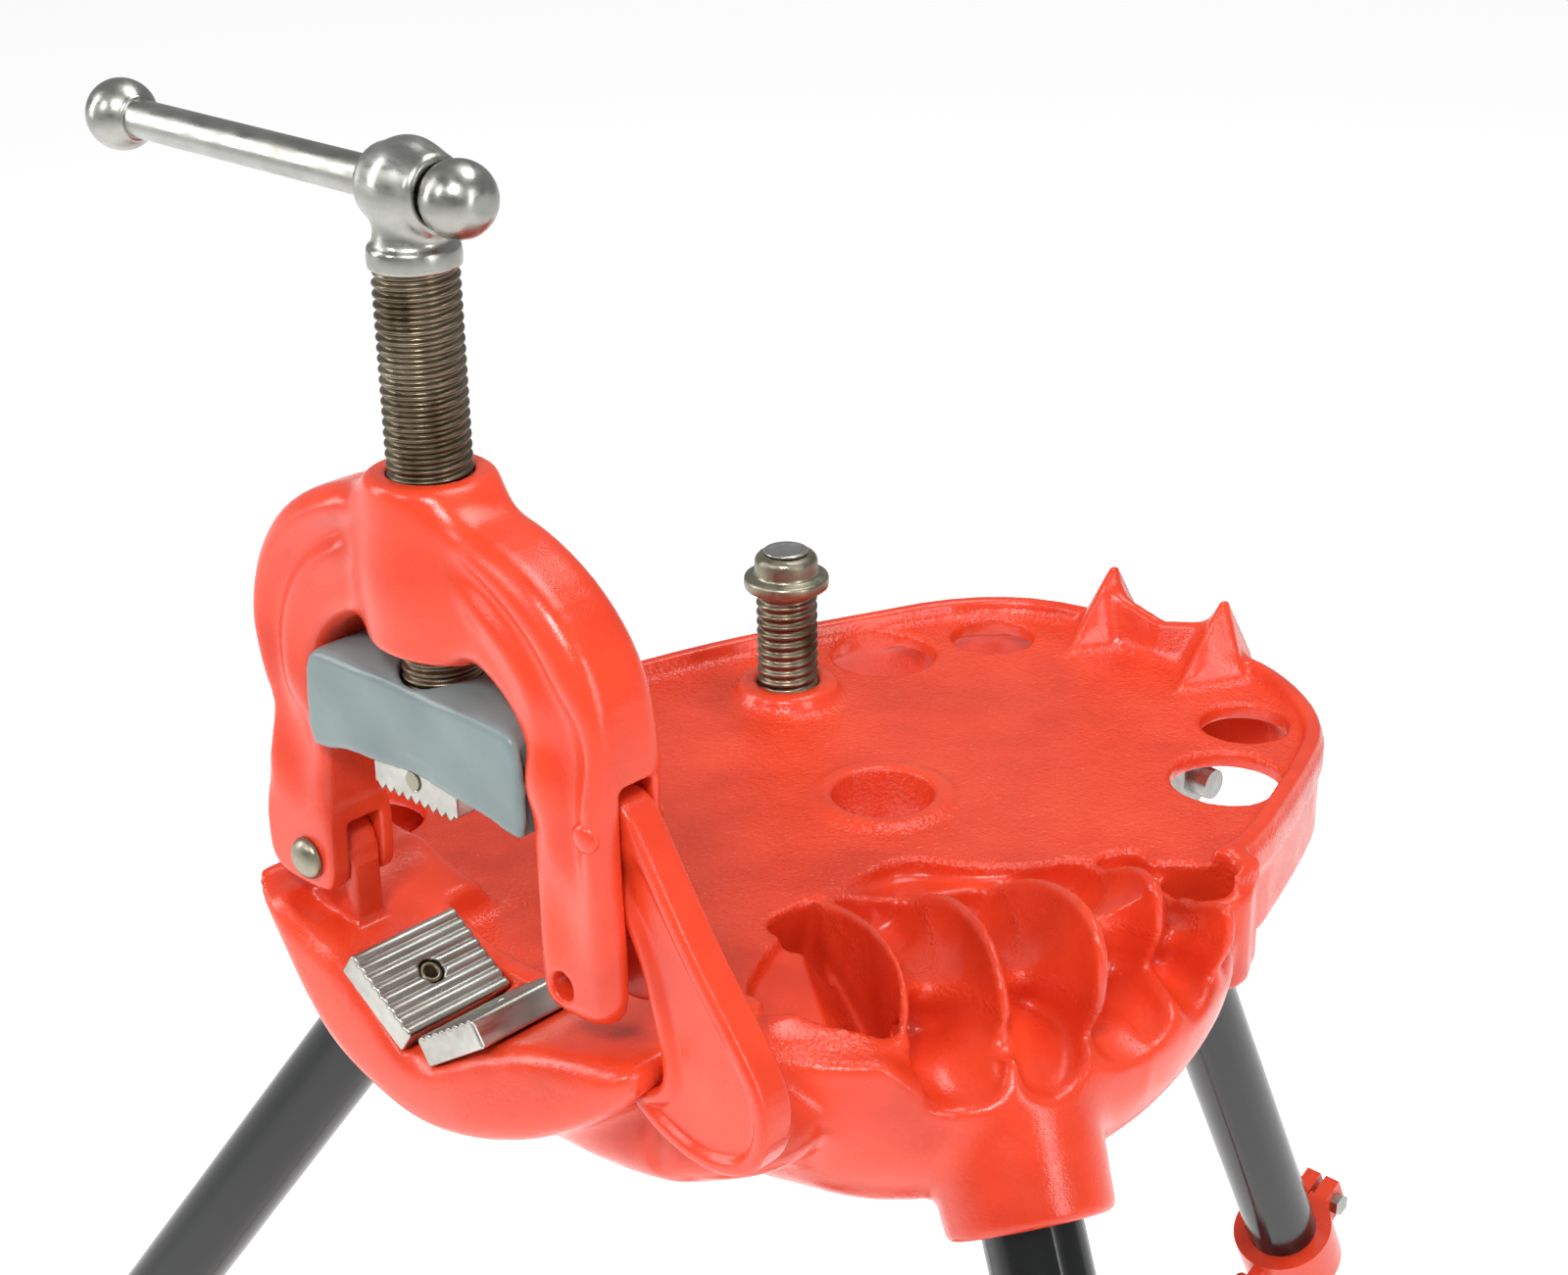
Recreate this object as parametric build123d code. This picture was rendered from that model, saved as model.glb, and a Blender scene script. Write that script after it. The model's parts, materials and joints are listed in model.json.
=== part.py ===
# Portable pipe vise stand: a cast deck with a yoke vise, a pipe bender, a pipe rest and a
# ceiling brace, on three folding legs that are tied to a lifting tool tray.
# Modelled with the deck's top face at z = 0, the vise screw on the z axis and the rear at +Y,
# then moved so that the origin is on the floor under the middle of the whole stand.
from build123d import *
from math import atan2, cos, degrees, radians, sin, sqrt
import os

# ---- clearances ----
run_gap = 0.05            # radial, shaft in its bearing hole
pair_gap = 0.3            # between flat faces that slide past each other
leg_gap = 0.6             # leg tube in its socket

# ---- stand ----
deck_height = 830.0       # deck's top face above the floor
tripod_centre_y = 180.0
front_azimuth = -27.5     # right front leg, from +X; the left one mirrors it
front_pivot_radius = 136.0
rear_pivot_radius = 154.0
pivot_drop = 30.0         # leg pivots below the deck's top face
front_lean = 35.4         # leg from vertical when spread
rear_lean = 26.1
leg_d = 33.4
leg_wall = 2.6
foot_d = 46.0
foot_length = 62.0
foot_pad = 12.0           # rubber under the end of the tube
pivot_bolt_d = 12.0
bolt_access_d = 26.0      # through the bender's bowl, along the right front bolt
clamp_bolt_d = 6.0
socket_d = 55.0
socket_length = 46.0
cheek_half = 31.0         # half width over the bolt's bosses
boss_d = 27.0             # around the pivot bolt
eye_margin = 1.3          # round eye of the leg's head to the end of the tube
spigot_length = 30.0      # head's plug inside the tube

# ---- tray linkage ----
rear_collar_along = 367.5  # pivot to collar along the rear leg
tray_drop = 385.0         # link pins at the tray below the deck, legs spread
tray_pin_radius = 105.0
collar_d = 48.0
collar_length = 26.0
lug_thickness = 6.0
link_thickness = 4.0
link_width = 22.0
link_pin_d = 8.0
lug_reach = 37.0          # collar's pin from the leg axis
tray_flat = 80.0          # tray centre to the sides that face the legs
tray_rim_drop = 14.0      # rim's top below the link pins, so that the links pass over it
tray_lug_r = 9.0
tray_floor = 3.0
tray_rim = 20.0
tray_wall = 4.0

# ---- deck casting ----
deck_thickness = 7.0
rim_height = 6.0
rim_width = 6.0
skirt_depth = 36.0
centre_hole_d = 37.5
centre_hole_y = 197.0
centre_ring_d = 50.0
centre_ring_height = 2.0
large_tool_hole_d = 42.0
small_tool_hole_d = 33.5
large_tool_hole_at = (84.3, 292.8)
small_tool_hole_at = (62.4, 335.5)
front_tool_hole_at = (-130.0, 62.0)
tool_hole_relief = 2.0    # wider above and below the deck, where the hole meets rim and skirt
spike_at = (27.1, 370.2)
spike_height = 29.6
spike_base = 9.0
rest_valley = 16.0

# ---- bender ----
bender_angle = 60.0       # direction in which the grooves are stacked, from +X
fin_thickness = 7.0
fin_places = (-36.0, -6.0, 23.0, 55.0)
fin_crests = (17.0, 20.0, 27.0, 19.0)
fin_reach = (146.0, 152.0, 154.0, 134.0)
groove_depth = 24.0
bowl_depth = 62.0
bowl_wall = 7.0
bender_pocket_at = (103.0, 85.0, 9.0)
bender_pocket_d = 38.0
bender_pocket_turn = -30.0
bender_pocket_tilt = 110.0

# ---- vise seat ----
seat_front = -24.0
seat_rear = 46.0
seat_bottom = -33.0
horn_left = -95.0
horn_right = 87.0
horn_top = 23.0
jaw_slope = 34.0
jaw_width = 33.0
jaw_thickness = 10.0
jaw_front = -23.0
jaw_length = 42.0
jaw_land = 1.5            # jaws' lower edges from the middle plane
jaw_pin_d = 8.0
jaw_ridge_pitch = 4.0
jaw_ridge_depth = 1.2
upper_jaw_pin_d = 6.0

# ---- yoke ----
yoke_half_depth = 13.0
yoke_half_width = 81.0
yoke_inner_half = 48.0
yoke_leg_bottom = 27.5
yoke_spring = 112.0       # height where the straight legs turn into the arch
yoke_crown = 176.0
yoke_window_top = 134.0
slot_front = -5.0
slot_rear = 8.0
hinge_x = -60.0
hinge_z = 38.5
hinge_pin_d = 9.0
hinge_head_d = 14.0
hinge_head_height = 4.0
lug_radius = 10.0
boss_r = 18.5
boss_top = 179.5
yoke_open_angle = 64.0    # hinge travel until the leg meets the left horn
yoke_swing_gap = 1.2      # round the leg's corner in the left horn's scoop

# ---- latch hook ----
hook_pin_x = 74.0
hook_pin_z = 93.0
hook_pin_d = 10.0
hook_swing = 48.0

# ---- vise screw and jaw carrier ----
screw_d = 25.4
screw_pitch = 3.175
screw_top = 243.6
screw_collar_d = 27.0
screw_head_d = 26.0
screw_head_top = 281.0
handle_z = 265.2
handle_d = 12.0
ball_d = 22.3
ball_spacing = 160.0
handle_left = -139.0      # centre of the left ball
carrier_bottom = 88.0
carrier_top = 121.0
carrier_half = 50.0
carrier_front = -16.0
carrier_rear = 16.0
carrier_socket = 104.0    # bottom of the hole that the screw turns in
upper_jaw_half = 19.0
upper_jaw_bottom = 78.5
upper_jaw_half_depth = 15.0
keeper_d = 5.0            # pins that hold the screw in the holder
keeper_z = 111.0
groove_core_d = 18.0      # screw inside the keepers' groove
jaw_down = 58.0           # travel of the jaw down and up from this setting
jaw_up = 2.0

# ---- ceiling brace ----
brace_at = (-85.3, 237.2)
brace_d = 23.9
brace_boss_d = 46.0
brace_boss_top = 8.0
brace_boss_bottom = -22.0
brace_thread_length = 118.0
brace_cap_bottom = 46.8
brace_flange_d = 33.0
brace_flange = 5.0
brace_head_d = 24.6
brace_cap_top = 61.0
brace_stud_d = 15.0
brace_pitch = 4.0
brace_down = 36.0
brace_up = 40.0

parts = {}


# ---- small helpers ----
def rod(d, low, high):
    """Cylinder along Z from low to high."""
    return Pos(0, 0, low) * extrude(Circle(d / 2), high - low)


def along_y(d, low, high, x=0.0, z=0.0):
    """Cylinder along Y from low to high at x, z."""
    return Pos(x, 0, z) * Rot(-90, 0, 0) * rod(d, low, high)


def along_x(d, low, high, y=0.0, z=0.0):
    """Cylinder along X from low to high at y, z."""
    return Pos(0, y, z) * Rot(0, 90, 0) * rod(d, low, high)


def block(x, y, z):
    """Box from three (low, high) pairs."""
    size = [b - a for a, b in (x, y, z)]
    middle = [(a + b) / 2 for a, b in (x, y, z)]
    return Pos(*middle) * Box(*size)


def plate_xz(face_edges, low, high):
    """Flat outline given in x, z, as thick as from y = low to y = high."""
    edges = [edge for curve in face_edges for edge in curve.edges()]
    face = Plane.XZ * make_face(edges)
    return extrude(face, high - low, dir=(0, 1, 0)).moved(Location((0, low, 0)))


def outline(points, radius=0.0):
    """Closed face through the points, its corners rounded."""
    face = make_face(Polyline(*points, close=True))
    if radius:
        face = fillet(face.vertices(), radius)
    return face


# ---- places that follow from the sizes ----
leg_r = leg_d / 2
legs = {
    "front_right": (front_azimuth, front_pivot_radius, front_lean),
    "front_left": (180 - front_azimuth, front_pivot_radius, front_lean),
    "rear": (90.0, rear_pivot_radius, rear_lean),
}
pin_in_x = tray_pin_radius
keeper_x = groove_core_d / 2 + keeper_d / 2 + 0.2


def folded_gap(pivot_radius):
    """Link's reach from the tray pin to the collar pin when the leg hangs straight down."""
    return pivot_radius - lug_reach - pin_in_x


def collar_pin(along, pivot_radius, lean):
    """Radius and height of a collar's pin when the leg leans by lean degrees."""
    a = radians(lean)
    r = pivot_radius + along * sin(a) - lug_reach * cos(a)
    z = -pivot_drop - along * cos(a) - lug_reach * sin(a)
    return r, z


def link_at_rest(along, pivot_radius, lean):
    r, z = collar_pin(along, pivot_radius, lean)
    return sqrt((r - pin_in_x) ** 2 + (z + tray_drop) ** 2)


rear_link = link_at_rest(rear_collar_along, rear_pivot_radius, rear_lean)
rear_down_r, rear_down_z = collar_pin(rear_collar_along, rear_pivot_radius, 0)
tray_lift_z = rear_down_z + sqrt(rear_link**2 - folded_gap(rear_pivot_radius) ** 2)
tray_lift = tray_lift_z + tray_drop


def link_mismatch(along, pivot_radius, lean):
    """How far the link would stretch between the spread and the folded stand."""
    r, z = collar_pin(along, pivot_radius, 0)
    folded = sqrt((r - pin_in_x) ** 2 + (z - tray_lift_z) ** 2)
    return link_at_rest(along, pivot_radius, lean) - folded


def solve_collar(pivot_radius, lean, low, high):
    """Collar place along the leg for which the link fits both ends of the fold."""
    for _ in range(60):
        middle = (low + high) / 2
        left = link_mismatch(low, pivot_radius, lean)
        if left * link_mismatch(middle, pivot_radius, lean) <= 0:
            high = middle
        else:
            low = middle
    return (low + high) / 2


front_collar_along = solve_collar(front_pivot_radius, front_lean, 300.0, 700.0)
collar_along = {
    "front_right": front_collar_along,
    "front_left": front_collar_along,
    "rear": rear_collar_along,
}


def leg_place(name):
    """Leg frame: origin at the pivot, -Z down the leg, +X outwards."""
    azimuth, radius, lean = legs[name]
    return (
        Pos(0, tripod_centre_y, 0)
        * Rot(0, 0, azimuth)
        * Pos(radius, 0, -pivot_drop)
        * Rot(0, -lean, 0)
    )


def leg_reach(name):
    """Pivot to floor along the leg's axis."""
    lean = legs[name][2]
    return (deck_height - pivot_drop) / cos(radians(lean))


# ---- deck casting ----
bender_t = Vector(cos(radians(bender_angle)), sin(radians(bender_angle)), 0)
bender_n = Vector(sin(radians(bender_angle)), -cos(radians(bender_angle)), 0)
bender_plane = Plane(origin=(0, 190, 0), x_dir=bender_n, z_dir=-bender_t)

deck_points = [
    (-92, 22), (-120, 25), (-147, 38), (-163, 66), (-162, 130), (-150, 190), (-134, 251),
    (-112, 300), (-90, 350), (-52, 376), (32, 379), (62, 369), (92, 346),
    (106, 315), (131, 237), (114, 213), (118, 150), (104, 82), (82, 42), (60, 22),
]
bowl_points = [
    (46, 34), (82, 43), (104, 58), (126, 76), (143, 103), (152, 133), (153, 165),
    (147, 190), (136, 206), (112, 210), (80, 190), (48, 164), (40, 122), (40, 80),
]
bowl_middle = (92.0, 122.0)
bowl_steps = ((-2.0, 1.0), (-34.0, 0.95), (-bowl_depth, 0.62))


def bowl(inset):
    """Rounded hull under the bender, its wall drawn inwards by inset."""
    cx, cy = bowl_middle
    sections = []
    for z, share in bowl_steps:
        points = [(cx + (x - cx) * share, cy + (y - cy) * share) for x, y in bowl_points]
        face = outline(points, 9.0)
        if inset:
            face = offset(face, -inset, kind=Kind.INTERSECTION)
        sections.append(Pos(0, 0, z + (inset if z == -bowl_depth else 0)) * face)
    return loft(sections)


def fin_profile(crest, reach, drop):
    """Arched rib outline in the plane across the grooves: outwards, then up."""
    start = reach - 84.0
    arch = Spline(
        (start, -12),
        (start + 22, crest * 0.45 - drop),
        (reach - 24, crest - drop),
        (reach - 3, crest * 0.2 - drop),
        (reach - 9, -34),
        (reach - 30, -52),
    )
    close = Polyline((reach - 30, -52), (start, -40), (start, -12))
    return make_face([*arch.edges(), *close.edges()])


def bender_solids():
    """Fins and groove floors, stacked along the bender's direction."""
    out = []
    for place, crest, reach in zip(fin_places, fin_crests, fin_reach):
        face = bender_plane * fin_profile(crest, reach, 0)
        start = bender_t * (place - fin_thickness / 2)
        out.append(extrude(face, fin_thickness, dir=tuple(bender_t)).moved(Location(start)))
    for i in range(len(fin_places) - 1):
        reach = min(fin_reach[i : i + 2]) - 8.0
        face = bender_plane * fin_profile(fin_crests[i], reach, groove_depth)
        start = bender_t * fin_places[i]
        length = fin_places[i + 1] - fin_places[i]
        out.append(extrude(face, length, dir=tuple(bender_t)).moved(Location(start)))
    return out


def leg_socket(name):
    """Conical socket with flat bosses for the pivot bolt, in the leg's frame."""
    lower = Pos(0, 0, -socket_length) * Cone(
        socket_d / 2, socket_d / 2 + 3, socket_length, align=(Align.CENTER,) * 2 + (Align.MIN,)
    )
    upper = rod(socket_d + 6, 0, 12)
    bosses = along_y(boss_d, -cheek_half, cheek_half)
    return leg_place(name) * (lower + upper + bosses)


def leg_sweep(name):
    """Room for the leg from spread to hanging straight down."""
    azimuth, radius, lean = legs[name]
    hole_d = leg_d + 2 * leg_gap
    half = hole_d / 2
    reach = 150.0
    spread = rod(hole_d, -reach, 0)
    hang = Rot(0, lean, 0) * spread
    head = along_y(hole_d, -half, half)
    corner = (-reach * sin(radians(lean)), -reach * cos(radians(lean)))
    wedge_face = make_face(Plane.XZ * Polyline((0, 0), (0, -reach), corner, close=True))
    wedge = extrude(wedge_face, half, both=True)
    return leg_place(name) * (spread + hang + head + wedge)


def seat_body():
    """Solid bow of the casting that carries the jaws: two horns over a rounded hull."""
    profile = [
        Polyline((horn_left, horn_top), (-66, 21), (-44, 17), (0, -8), (44, 17), (66, 21),
                 (horn_right, horn_top), (horn_right, horn_top - 11)),
        Spline((horn_right, horn_top - 11), (62, -6), (30, -28), (0, seat_bottom),
               (-32, -26), (-60, -4), (horn_left, horn_top - 8)),
        Line((horn_left, horn_top - 8), (horn_left, horn_top)),
    ]
    body = plate_xz(profile, seat_front, seat_rear)
    # horns are only as deep as the yoke's legs
    for x in ((horn_left - 5, -78.0), (76.0, horn_right + 5)):
        body -= block(x, (slot_rear + 8, seat_rear + 1), (-60, 40))
        body -= block(x, (seat_front - 1, -14.0), (-60, 40))
    return body


def jaw_box(side, grow=0.0):
    """Room that a lower jaw takes; side is -1 for the left jaw and 1 for the right."""
    slab = block(
        (jaw_land, jaw_land + jaw_width),
        (jaw_front - grow, jaw_front + jaw_length + grow),
        (-jaw_thickness - grow, grow * 40),
    )
    slab = Rot(0, -jaw_slope, 0) * slab
    return slab if side > 0 else mirror(slab, Plane.YZ)


def spike(side):
    """Pyramid tooth of the pipe rest with a rib down its front."""
    x, y = side * spike_at[0], spike_at[1]
    base = Pos(x, y - 2, 0) * Rectangle(2 * spike_base + 6, 2 * spike_base)
    tip = Pos(x, y, spike_height) * Rectangle(1.6, 1.6)
    rib = Pos(x, y - 8, 0) * Rectangle(8, 26)
    rib_top = Pos(x, y - 2, spike_height * 0.6) * Rectangle(2, 8)
    return loft([base, tip]) + loft([rib, rib_top])


def base_casting():
    deck = outline(deck_points, 8.0)
    inner = offset(deck, -rim_width, kind=Kind.INTERSECTION)
    body = Pos(0, 0, -deck_thickness) * extrude(deck, deck_thickness)
    rim = extrude(deck - inner, rim_height)
    rim -= block((0, 160), (-10, 225), (-1, 20))
    rim -= block((-130, 60), (-10, 36), (-1, 20))
    skirt = Pos(0, 0, -skirt_depth) * extrude(deck - inner, skirt_depth)
    skirt -= bowl(0)
    skirt -= block((-80, 80), (-10, 45), (-60, -deck_thickness))
    body += rim + skirt
    # pipe rest
    body += Pos(0, spike_at[1] - 4, rest_valley / 2) * Box(2 * spike_at[0], 10, rest_valley)
    for side in (-1, 1):
        body += spike(side)
    # brace boss, centre ring
    body += Pos(*brace_at, 0) * rod(brace_boss_d, brace_boss_bottom, brace_boss_top)
    body += Pos(0, centre_hole_y, 0) * rod(centre_ring_d, -deck_thickness, centre_ring_height)
    # bender
    hull = bowl(0) - bowl(bowl_wall)
    body += hull
    for solid in bender_solids():
        body += solid
    pocket = rod(bender_pocket_d, -36, 34)
    pocket = Rot(0, 0, bender_pocket_turn) * Rot(0, bender_pocket_tilt, 0) * pocket
    pocket = Pos(*bender_pocket_at) * pocket
    body -= pocket
    body -= leg_place("front_right") * along_y(
        bolt_access_d, -cheek_half - 13, cheek_half + 21
    )
    # leg sockets
    for name in legs:
        body += leg_socket(name) - block((-300, 300), (-100, 500), (-deck_thickness / 2, 60))
    # vise seat, with its back wall behind the jaws
    body += seat_body()
    jaw_room = jaw_front + jaw_length + pair_gap
    body -= block((-46, 46), (jaw_room, seat_rear + 1), (-2, 40))
    body += block((-30, 30), (jaw_room, jaw_room + 9), (-10, 7))
    for side in (-1, 1):
        body -= jaw_box(side, pair_gap)
    # hinge lug on the left
    lug = plate_xz(
        [Polyline((hinge_x - lug_radius, 12), (hinge_x - lug_radius, hinge_z)),
         ThreePointArc((hinge_x - lug_radius, hinge_z), (hinge_x, hinge_z + lug_radius),
                       (hinge_x + lug_radius, hinge_z)),
         Polyline((hinge_x + lug_radius, hinge_z), (hinge_x + lug_radius + 4, 12),
                  (hinge_x - lug_radius, 12))],
        slot_front + pair_gap,
        slot_rear - pair_gap,
    )
    body += lug
    # holes
    for name in legs:
        body -= leg_sweep(name)
        body -= leg_place(name) * along_y(pivot_bolt_d, -cheek_half - 5, cheek_half + 5)
    body -= Pos(0, centre_hole_y, 0) * rod(centre_hole_d, -70, 20)
    for side in (-1, 1):
        for at, d in (
            (large_tool_hole_at, large_tool_hole_d),
            (small_tool_hole_at, small_tool_hole_d),
        ):
            body -= Pos(side * at[0], at[1], 0) * rod(d, -60, 20)
    body -= Pos(*front_tool_hole_at, 0) * rod(large_tool_hole_d, -60, 20)
    relief_d = large_tool_hole_d + 2 * tool_hole_relief
    for low, high in ((-60, -deck_thickness), (0, 20)):
        body -= Pos(*front_tool_hole_at, 0) * rod(relief_d, low, high)
    body -= Pos(*brace_at, 0) * rod(brace_d + 2 * run_gap, -60, 20)
    body -= along_y(hinge_pin_d, -40, 40, hinge_x, hinge_z)
    body -= yoke_room()
    body -= hook_room()
    for side in (-1, 1):
        body -= jaw_pin_hole(side)
    return body


def yoke_room():
    """Space that the yoke's leg ends take above the seat, with a gap all round."""
    room = None
    for x in ((-yoke_half_width - 3, -yoke_inner_half + 2), (yoke_inner_half - 2, 86.0)):
        for y in ((-yoke_half_depth - 1, slot_front), (slot_rear, yoke_half_depth + 1)):
            piece = block(x, y, (yoke_leg_bottom - 1.0, 90))
            room = piece if room is None else room + piece
    # scoop in the left horn, which the corner of the leg turns through
    corner = sqrt((yoke_half_width + 1 + hinge_x) ** 2 + 3**2) + yoke_swing_gap
    for y in ((-yoke_half_depth - 1, slot_front), (slot_rear, yoke_half_depth + 1)):
        room += along_y(2 * corner, *y, hinge_x, hinge_z)
    return room


def hook_room():
    """Space behind the latch hook's lip, under the right horn."""
    return block((73, 150), (slot_front - 1.5, slot_rear + 1.5), (-30, 9.3))


def jaw_pin_hole(side):
    middle = jaw_land + jaw_width / 2
    hole = Pos(middle, jaw_front + jaw_length / 2, 0) * rod(jaw_pin_d, -24, 2)
    hole = Rot(0, -jaw_slope, 0) * hole
    return hole if side > 0 else mirror(hole, Plane.YZ)


def lower_jaw(side):
    """Serrated plate; the ridges run front to rear."""
    slab = block(
        (jaw_land, jaw_land + jaw_width),
        (jaw_front, jaw_front + jaw_length),
        (-jaw_thickness, 0),
    )
    count = int(jaw_width / jaw_ridge_pitch)
    start = jaw_land + (jaw_width - count * jaw_ridge_pitch) / 2 + jaw_ridge_pitch / 2
    for i in range(count):
        x = start + i * jaw_ridge_pitch
        cut = Plane.XZ * Polyline(
            (x - 1.5, 0.5), (x + 1.5, 0.5), (x + 0.6, -jaw_ridge_depth),
            (x - 0.6, -jaw_ridge_depth), close=True,
        )
        cutter = extrude(make_face(cut), jaw_length + 2, dir=(0, 1, 0))
        slab -= cutter.moved(Location((0, jaw_front - 1, 0)))
    slab = Rot(0, -jaw_slope, 0) * slab
    slab = slab if side > 0 else mirror(slab, Plane.YZ)
    return slab - jaw_pin_hole(side)


def jaw_pin(side):
    middle = jaw_land + jaw_width / 2
    pin = rod(jaw_pin_d, -24, -jaw_ridge_depth) - rod(jaw_pin_d - 3.6, -30, 5)
    pin = Rot(0, -jaw_slope, 0) * Pos(middle, jaw_front + jaw_length / 2, 0) * pin
    return pin if side > 0 else mirror(pin, Plane.YZ)


def hinge_rivet():
    """Rivet through the yoke's ears and the casting's lug, with a domed head at each end."""
    ear = yoke_half_depth + pair_gap
    shank = along_y(hinge_pin_d, -ear, ear, hinge_x, hinge_z)
    dome_r = (hinge_head_d**2 / 4 + hinge_head_height**2) / (2 * hinge_head_height)
    dome = Pos(0, 0, hinge_head_height - dome_r) * Sphere(dome_r)
    dome &= rod(hinge_head_d, 0, hinge_head_height + 1)
    front = Pos(hinge_x, -ear, hinge_z) * Rot(90, 0, 0) * dome
    rear = Pos(hinge_x, ear, hinge_z) * Rot(-90, 0, 0) * dome
    return shank + front + rear


# ---- yoke ----
def yoke():
    rise = yoke_crown - yoke_spring
    inner_rise = yoke_window_top - yoke_spring
    w, v = yoke_half_width, yoke_inner_half
    edges = [
        Line((-w - 1, yoke_leg_bottom + 8), (-w - 1, 60)),
        Line((-w - 1, 60), (-w + 3, 74)),
        Line((-w + 3, 74), (-w, yoke_spring)),
        EllipticalCenterArc((0, yoke_spring), w, rise, 0, arc_size=180),
        Line((w, yoke_spring), (w - 1, 74)),
        Line((w - 1, 74), (w + 2, yoke_leg_bottom + 8)),
        Line((w + 2, yoke_leg_bottom + 8), (w - 8, yoke_leg_bottom)),
        Line((w - 8, yoke_leg_bottom), (v, yoke_leg_bottom)),
        Line((v, yoke_leg_bottom), (v, yoke_spring)),
        EllipticalCenterArc((0, yoke_spring), v, inner_rise, 0, arc_size=180),
        Line((-v, yoke_spring), (-v, yoke_leg_bottom)),
        Line((-v, yoke_leg_bottom), (-w + 7, yoke_leg_bottom)),
        Line((-w + 7, yoke_leg_bottom), (-w - 1, yoke_leg_bottom + 8)),
    ]
    body = plate_xz(edges, -yoke_half_depth, yoke_half_depth)
    body += rod(2 * boss_r, yoke_window_top - 4, boss_top)
    body -= rod(screw_d + 2 * run_gap, 90, 200)
    body -= block((-yoke_inner_half, yoke_inner_half), (-30, 30), (60, yoke_spring))
    # slots for the hinge lug and for the hook
    lug_top = hinge_z + lug_radius + 3
    body -= block((-90, -yoke_inner_half + 5), (slot_front, slot_rear), (0, lug_top))
    body -= block((yoke_inner_half + 12, 90), (slot_front, slot_rear), (0, hook_pin_z + 14))
    for x in (hinge_x, -hinge_x):
        body -= along_y(hinge_pin_d + 2 * run_gap, -30, 30, x, hinge_z)
    return body - along_y(hook_pin_d, -30, 30, hook_pin_x, hook_pin_z)


def hook_pin():
    """Pin with a rounded painted end, fixed in both ears."""
    pin = along_y(hook_pin_d, -yoke_half_depth - 2, yoke_half_depth + 1, hook_pin_x, hook_pin_z)
    end = pin.faces().sort_by(Axis.Y)[0]
    return fillet(end.edges(), 2.0)


def latch_hook():
    """Flat hook: an eye on the pin, a belly outwards and a lip under the right horn."""
    outer = Spline(
        (hook_pin_x + 9, hook_pin_z + 6), (97, 92), (110, 75), (125, 56), (138, 38),
        (141, 24), (135, 8), (123, -3), (108, -7), (92, -4), (78, 2),
    )
    tip = Line((78, 2), (76.5, 8.5))
    inner = Spline((76.5, 8.5), (84, 8.9), (92, 13), (92.5, 20), (89, 32), (87, 44), (84, 62), (68, 84))
    start = hook_pin_x + 9
    eye = ThreePointArc((68, 84), (hook_pin_x - 6, hook_pin_z + 6), (start, hook_pin_z + 6))
    body = plate_xz([outer, tip, inner, eye], slot_front + pair_gap, slot_rear - pair_gap)
    return body - along_y(hook_pin_d + 2 * run_gap, -30, 30, hook_pin_x, hook_pin_z)


# ---- jaw carrier and screw ----
def upper_jaw_holder():
    gap = pair_gap
    h = yoke_inner_half - gap
    shape = [
        Polyline((-h, carrier_bottom - 5), (-h, carrier_top - 10), (-h + 8, carrier_top),
                 (h - 8, carrier_top), (h, carrier_top - 10), (h, carrier_bottom - 5),
                 (h - 6, carrier_bottom - 5)),
        ThreePointArc((h - 6, carrier_bottom - 5), (0, carrier_bottom + 2),
                      (-h + 6, carrier_bottom - 5)),
        Line((-h + 6, carrier_bottom - 5), (-h, carrier_bottom - 5)),
    ]
    core = plate_xz(shape, -yoke_half_depth - gap, yoke_half_depth + gap)
    stretch = carrier_half / h
    flange_points = [
        (-h * stretch, carrier_bottom - 4), (-h * stretch, carrier_top - 12),
        (-h * stretch + 8, carrier_top - 3), (h * stretch - 8, carrier_top - 3),
        (h * stretch, carrier_top - 12), (h * stretch, carrier_bottom - 4),
        (h - 8, carrier_bottom - 4), (20, carrier_bottom), (-20, carrier_bottom),
        (-h + 8, carrier_bottom - 4),
    ]
    face = [Polyline(*flange_points, close=True)]
    core += plate_xz(face, carrier_front, -yoke_half_depth - gap)
    core += plate_xz(face, yoke_half_depth + gap, carrier_rear)
    core -= rod(screw_d + 2 * run_gap, carrier_socket, 200)
    core -= upper_jaw_blank()
    core -= along_y(upper_jaw_pin_d, -40, 40, 0, carrier_bottom - 1)
    for x in (-keeper_x, keeper_x):
        core -= along_y(keeper_d, -40, 40, x, keeper_z)
    return core


def upper_jaw_blank():
    return block(
        (-upper_jaw_half, upper_jaw_half),
        (-upper_jaw_half_depth, upper_jaw_half_depth),
        (upper_jaw_bottom, carrier_bottom + 8),
    )


def upper_jaw():
    body = upper_jaw_blank()
    count = int(2 * upper_jaw_half / jaw_ridge_pitch)
    start = -(count - 1) * jaw_ridge_pitch / 2
    for i in range(count):
        x = start + i * jaw_ridge_pitch
        cut = make_face(Plane.XZ * Polyline(
            (x - 1.6, upper_jaw_bottom - 0.5), (x + 1.6, upper_jaw_bottom - 0.5),
            (x, upper_jaw_bottom + 2.4), close=True,
        ))
        cutter = extrude(cut, 2 * upper_jaw_half_depth + 2, dir=(0, 1, 0))
        body -= cutter.moved(Location((0, -upper_jaw_half_depth - 1, 0)))
    return body - along_y(upper_jaw_pin_d, -40, 40, 0, carrier_bottom - 1)


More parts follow.
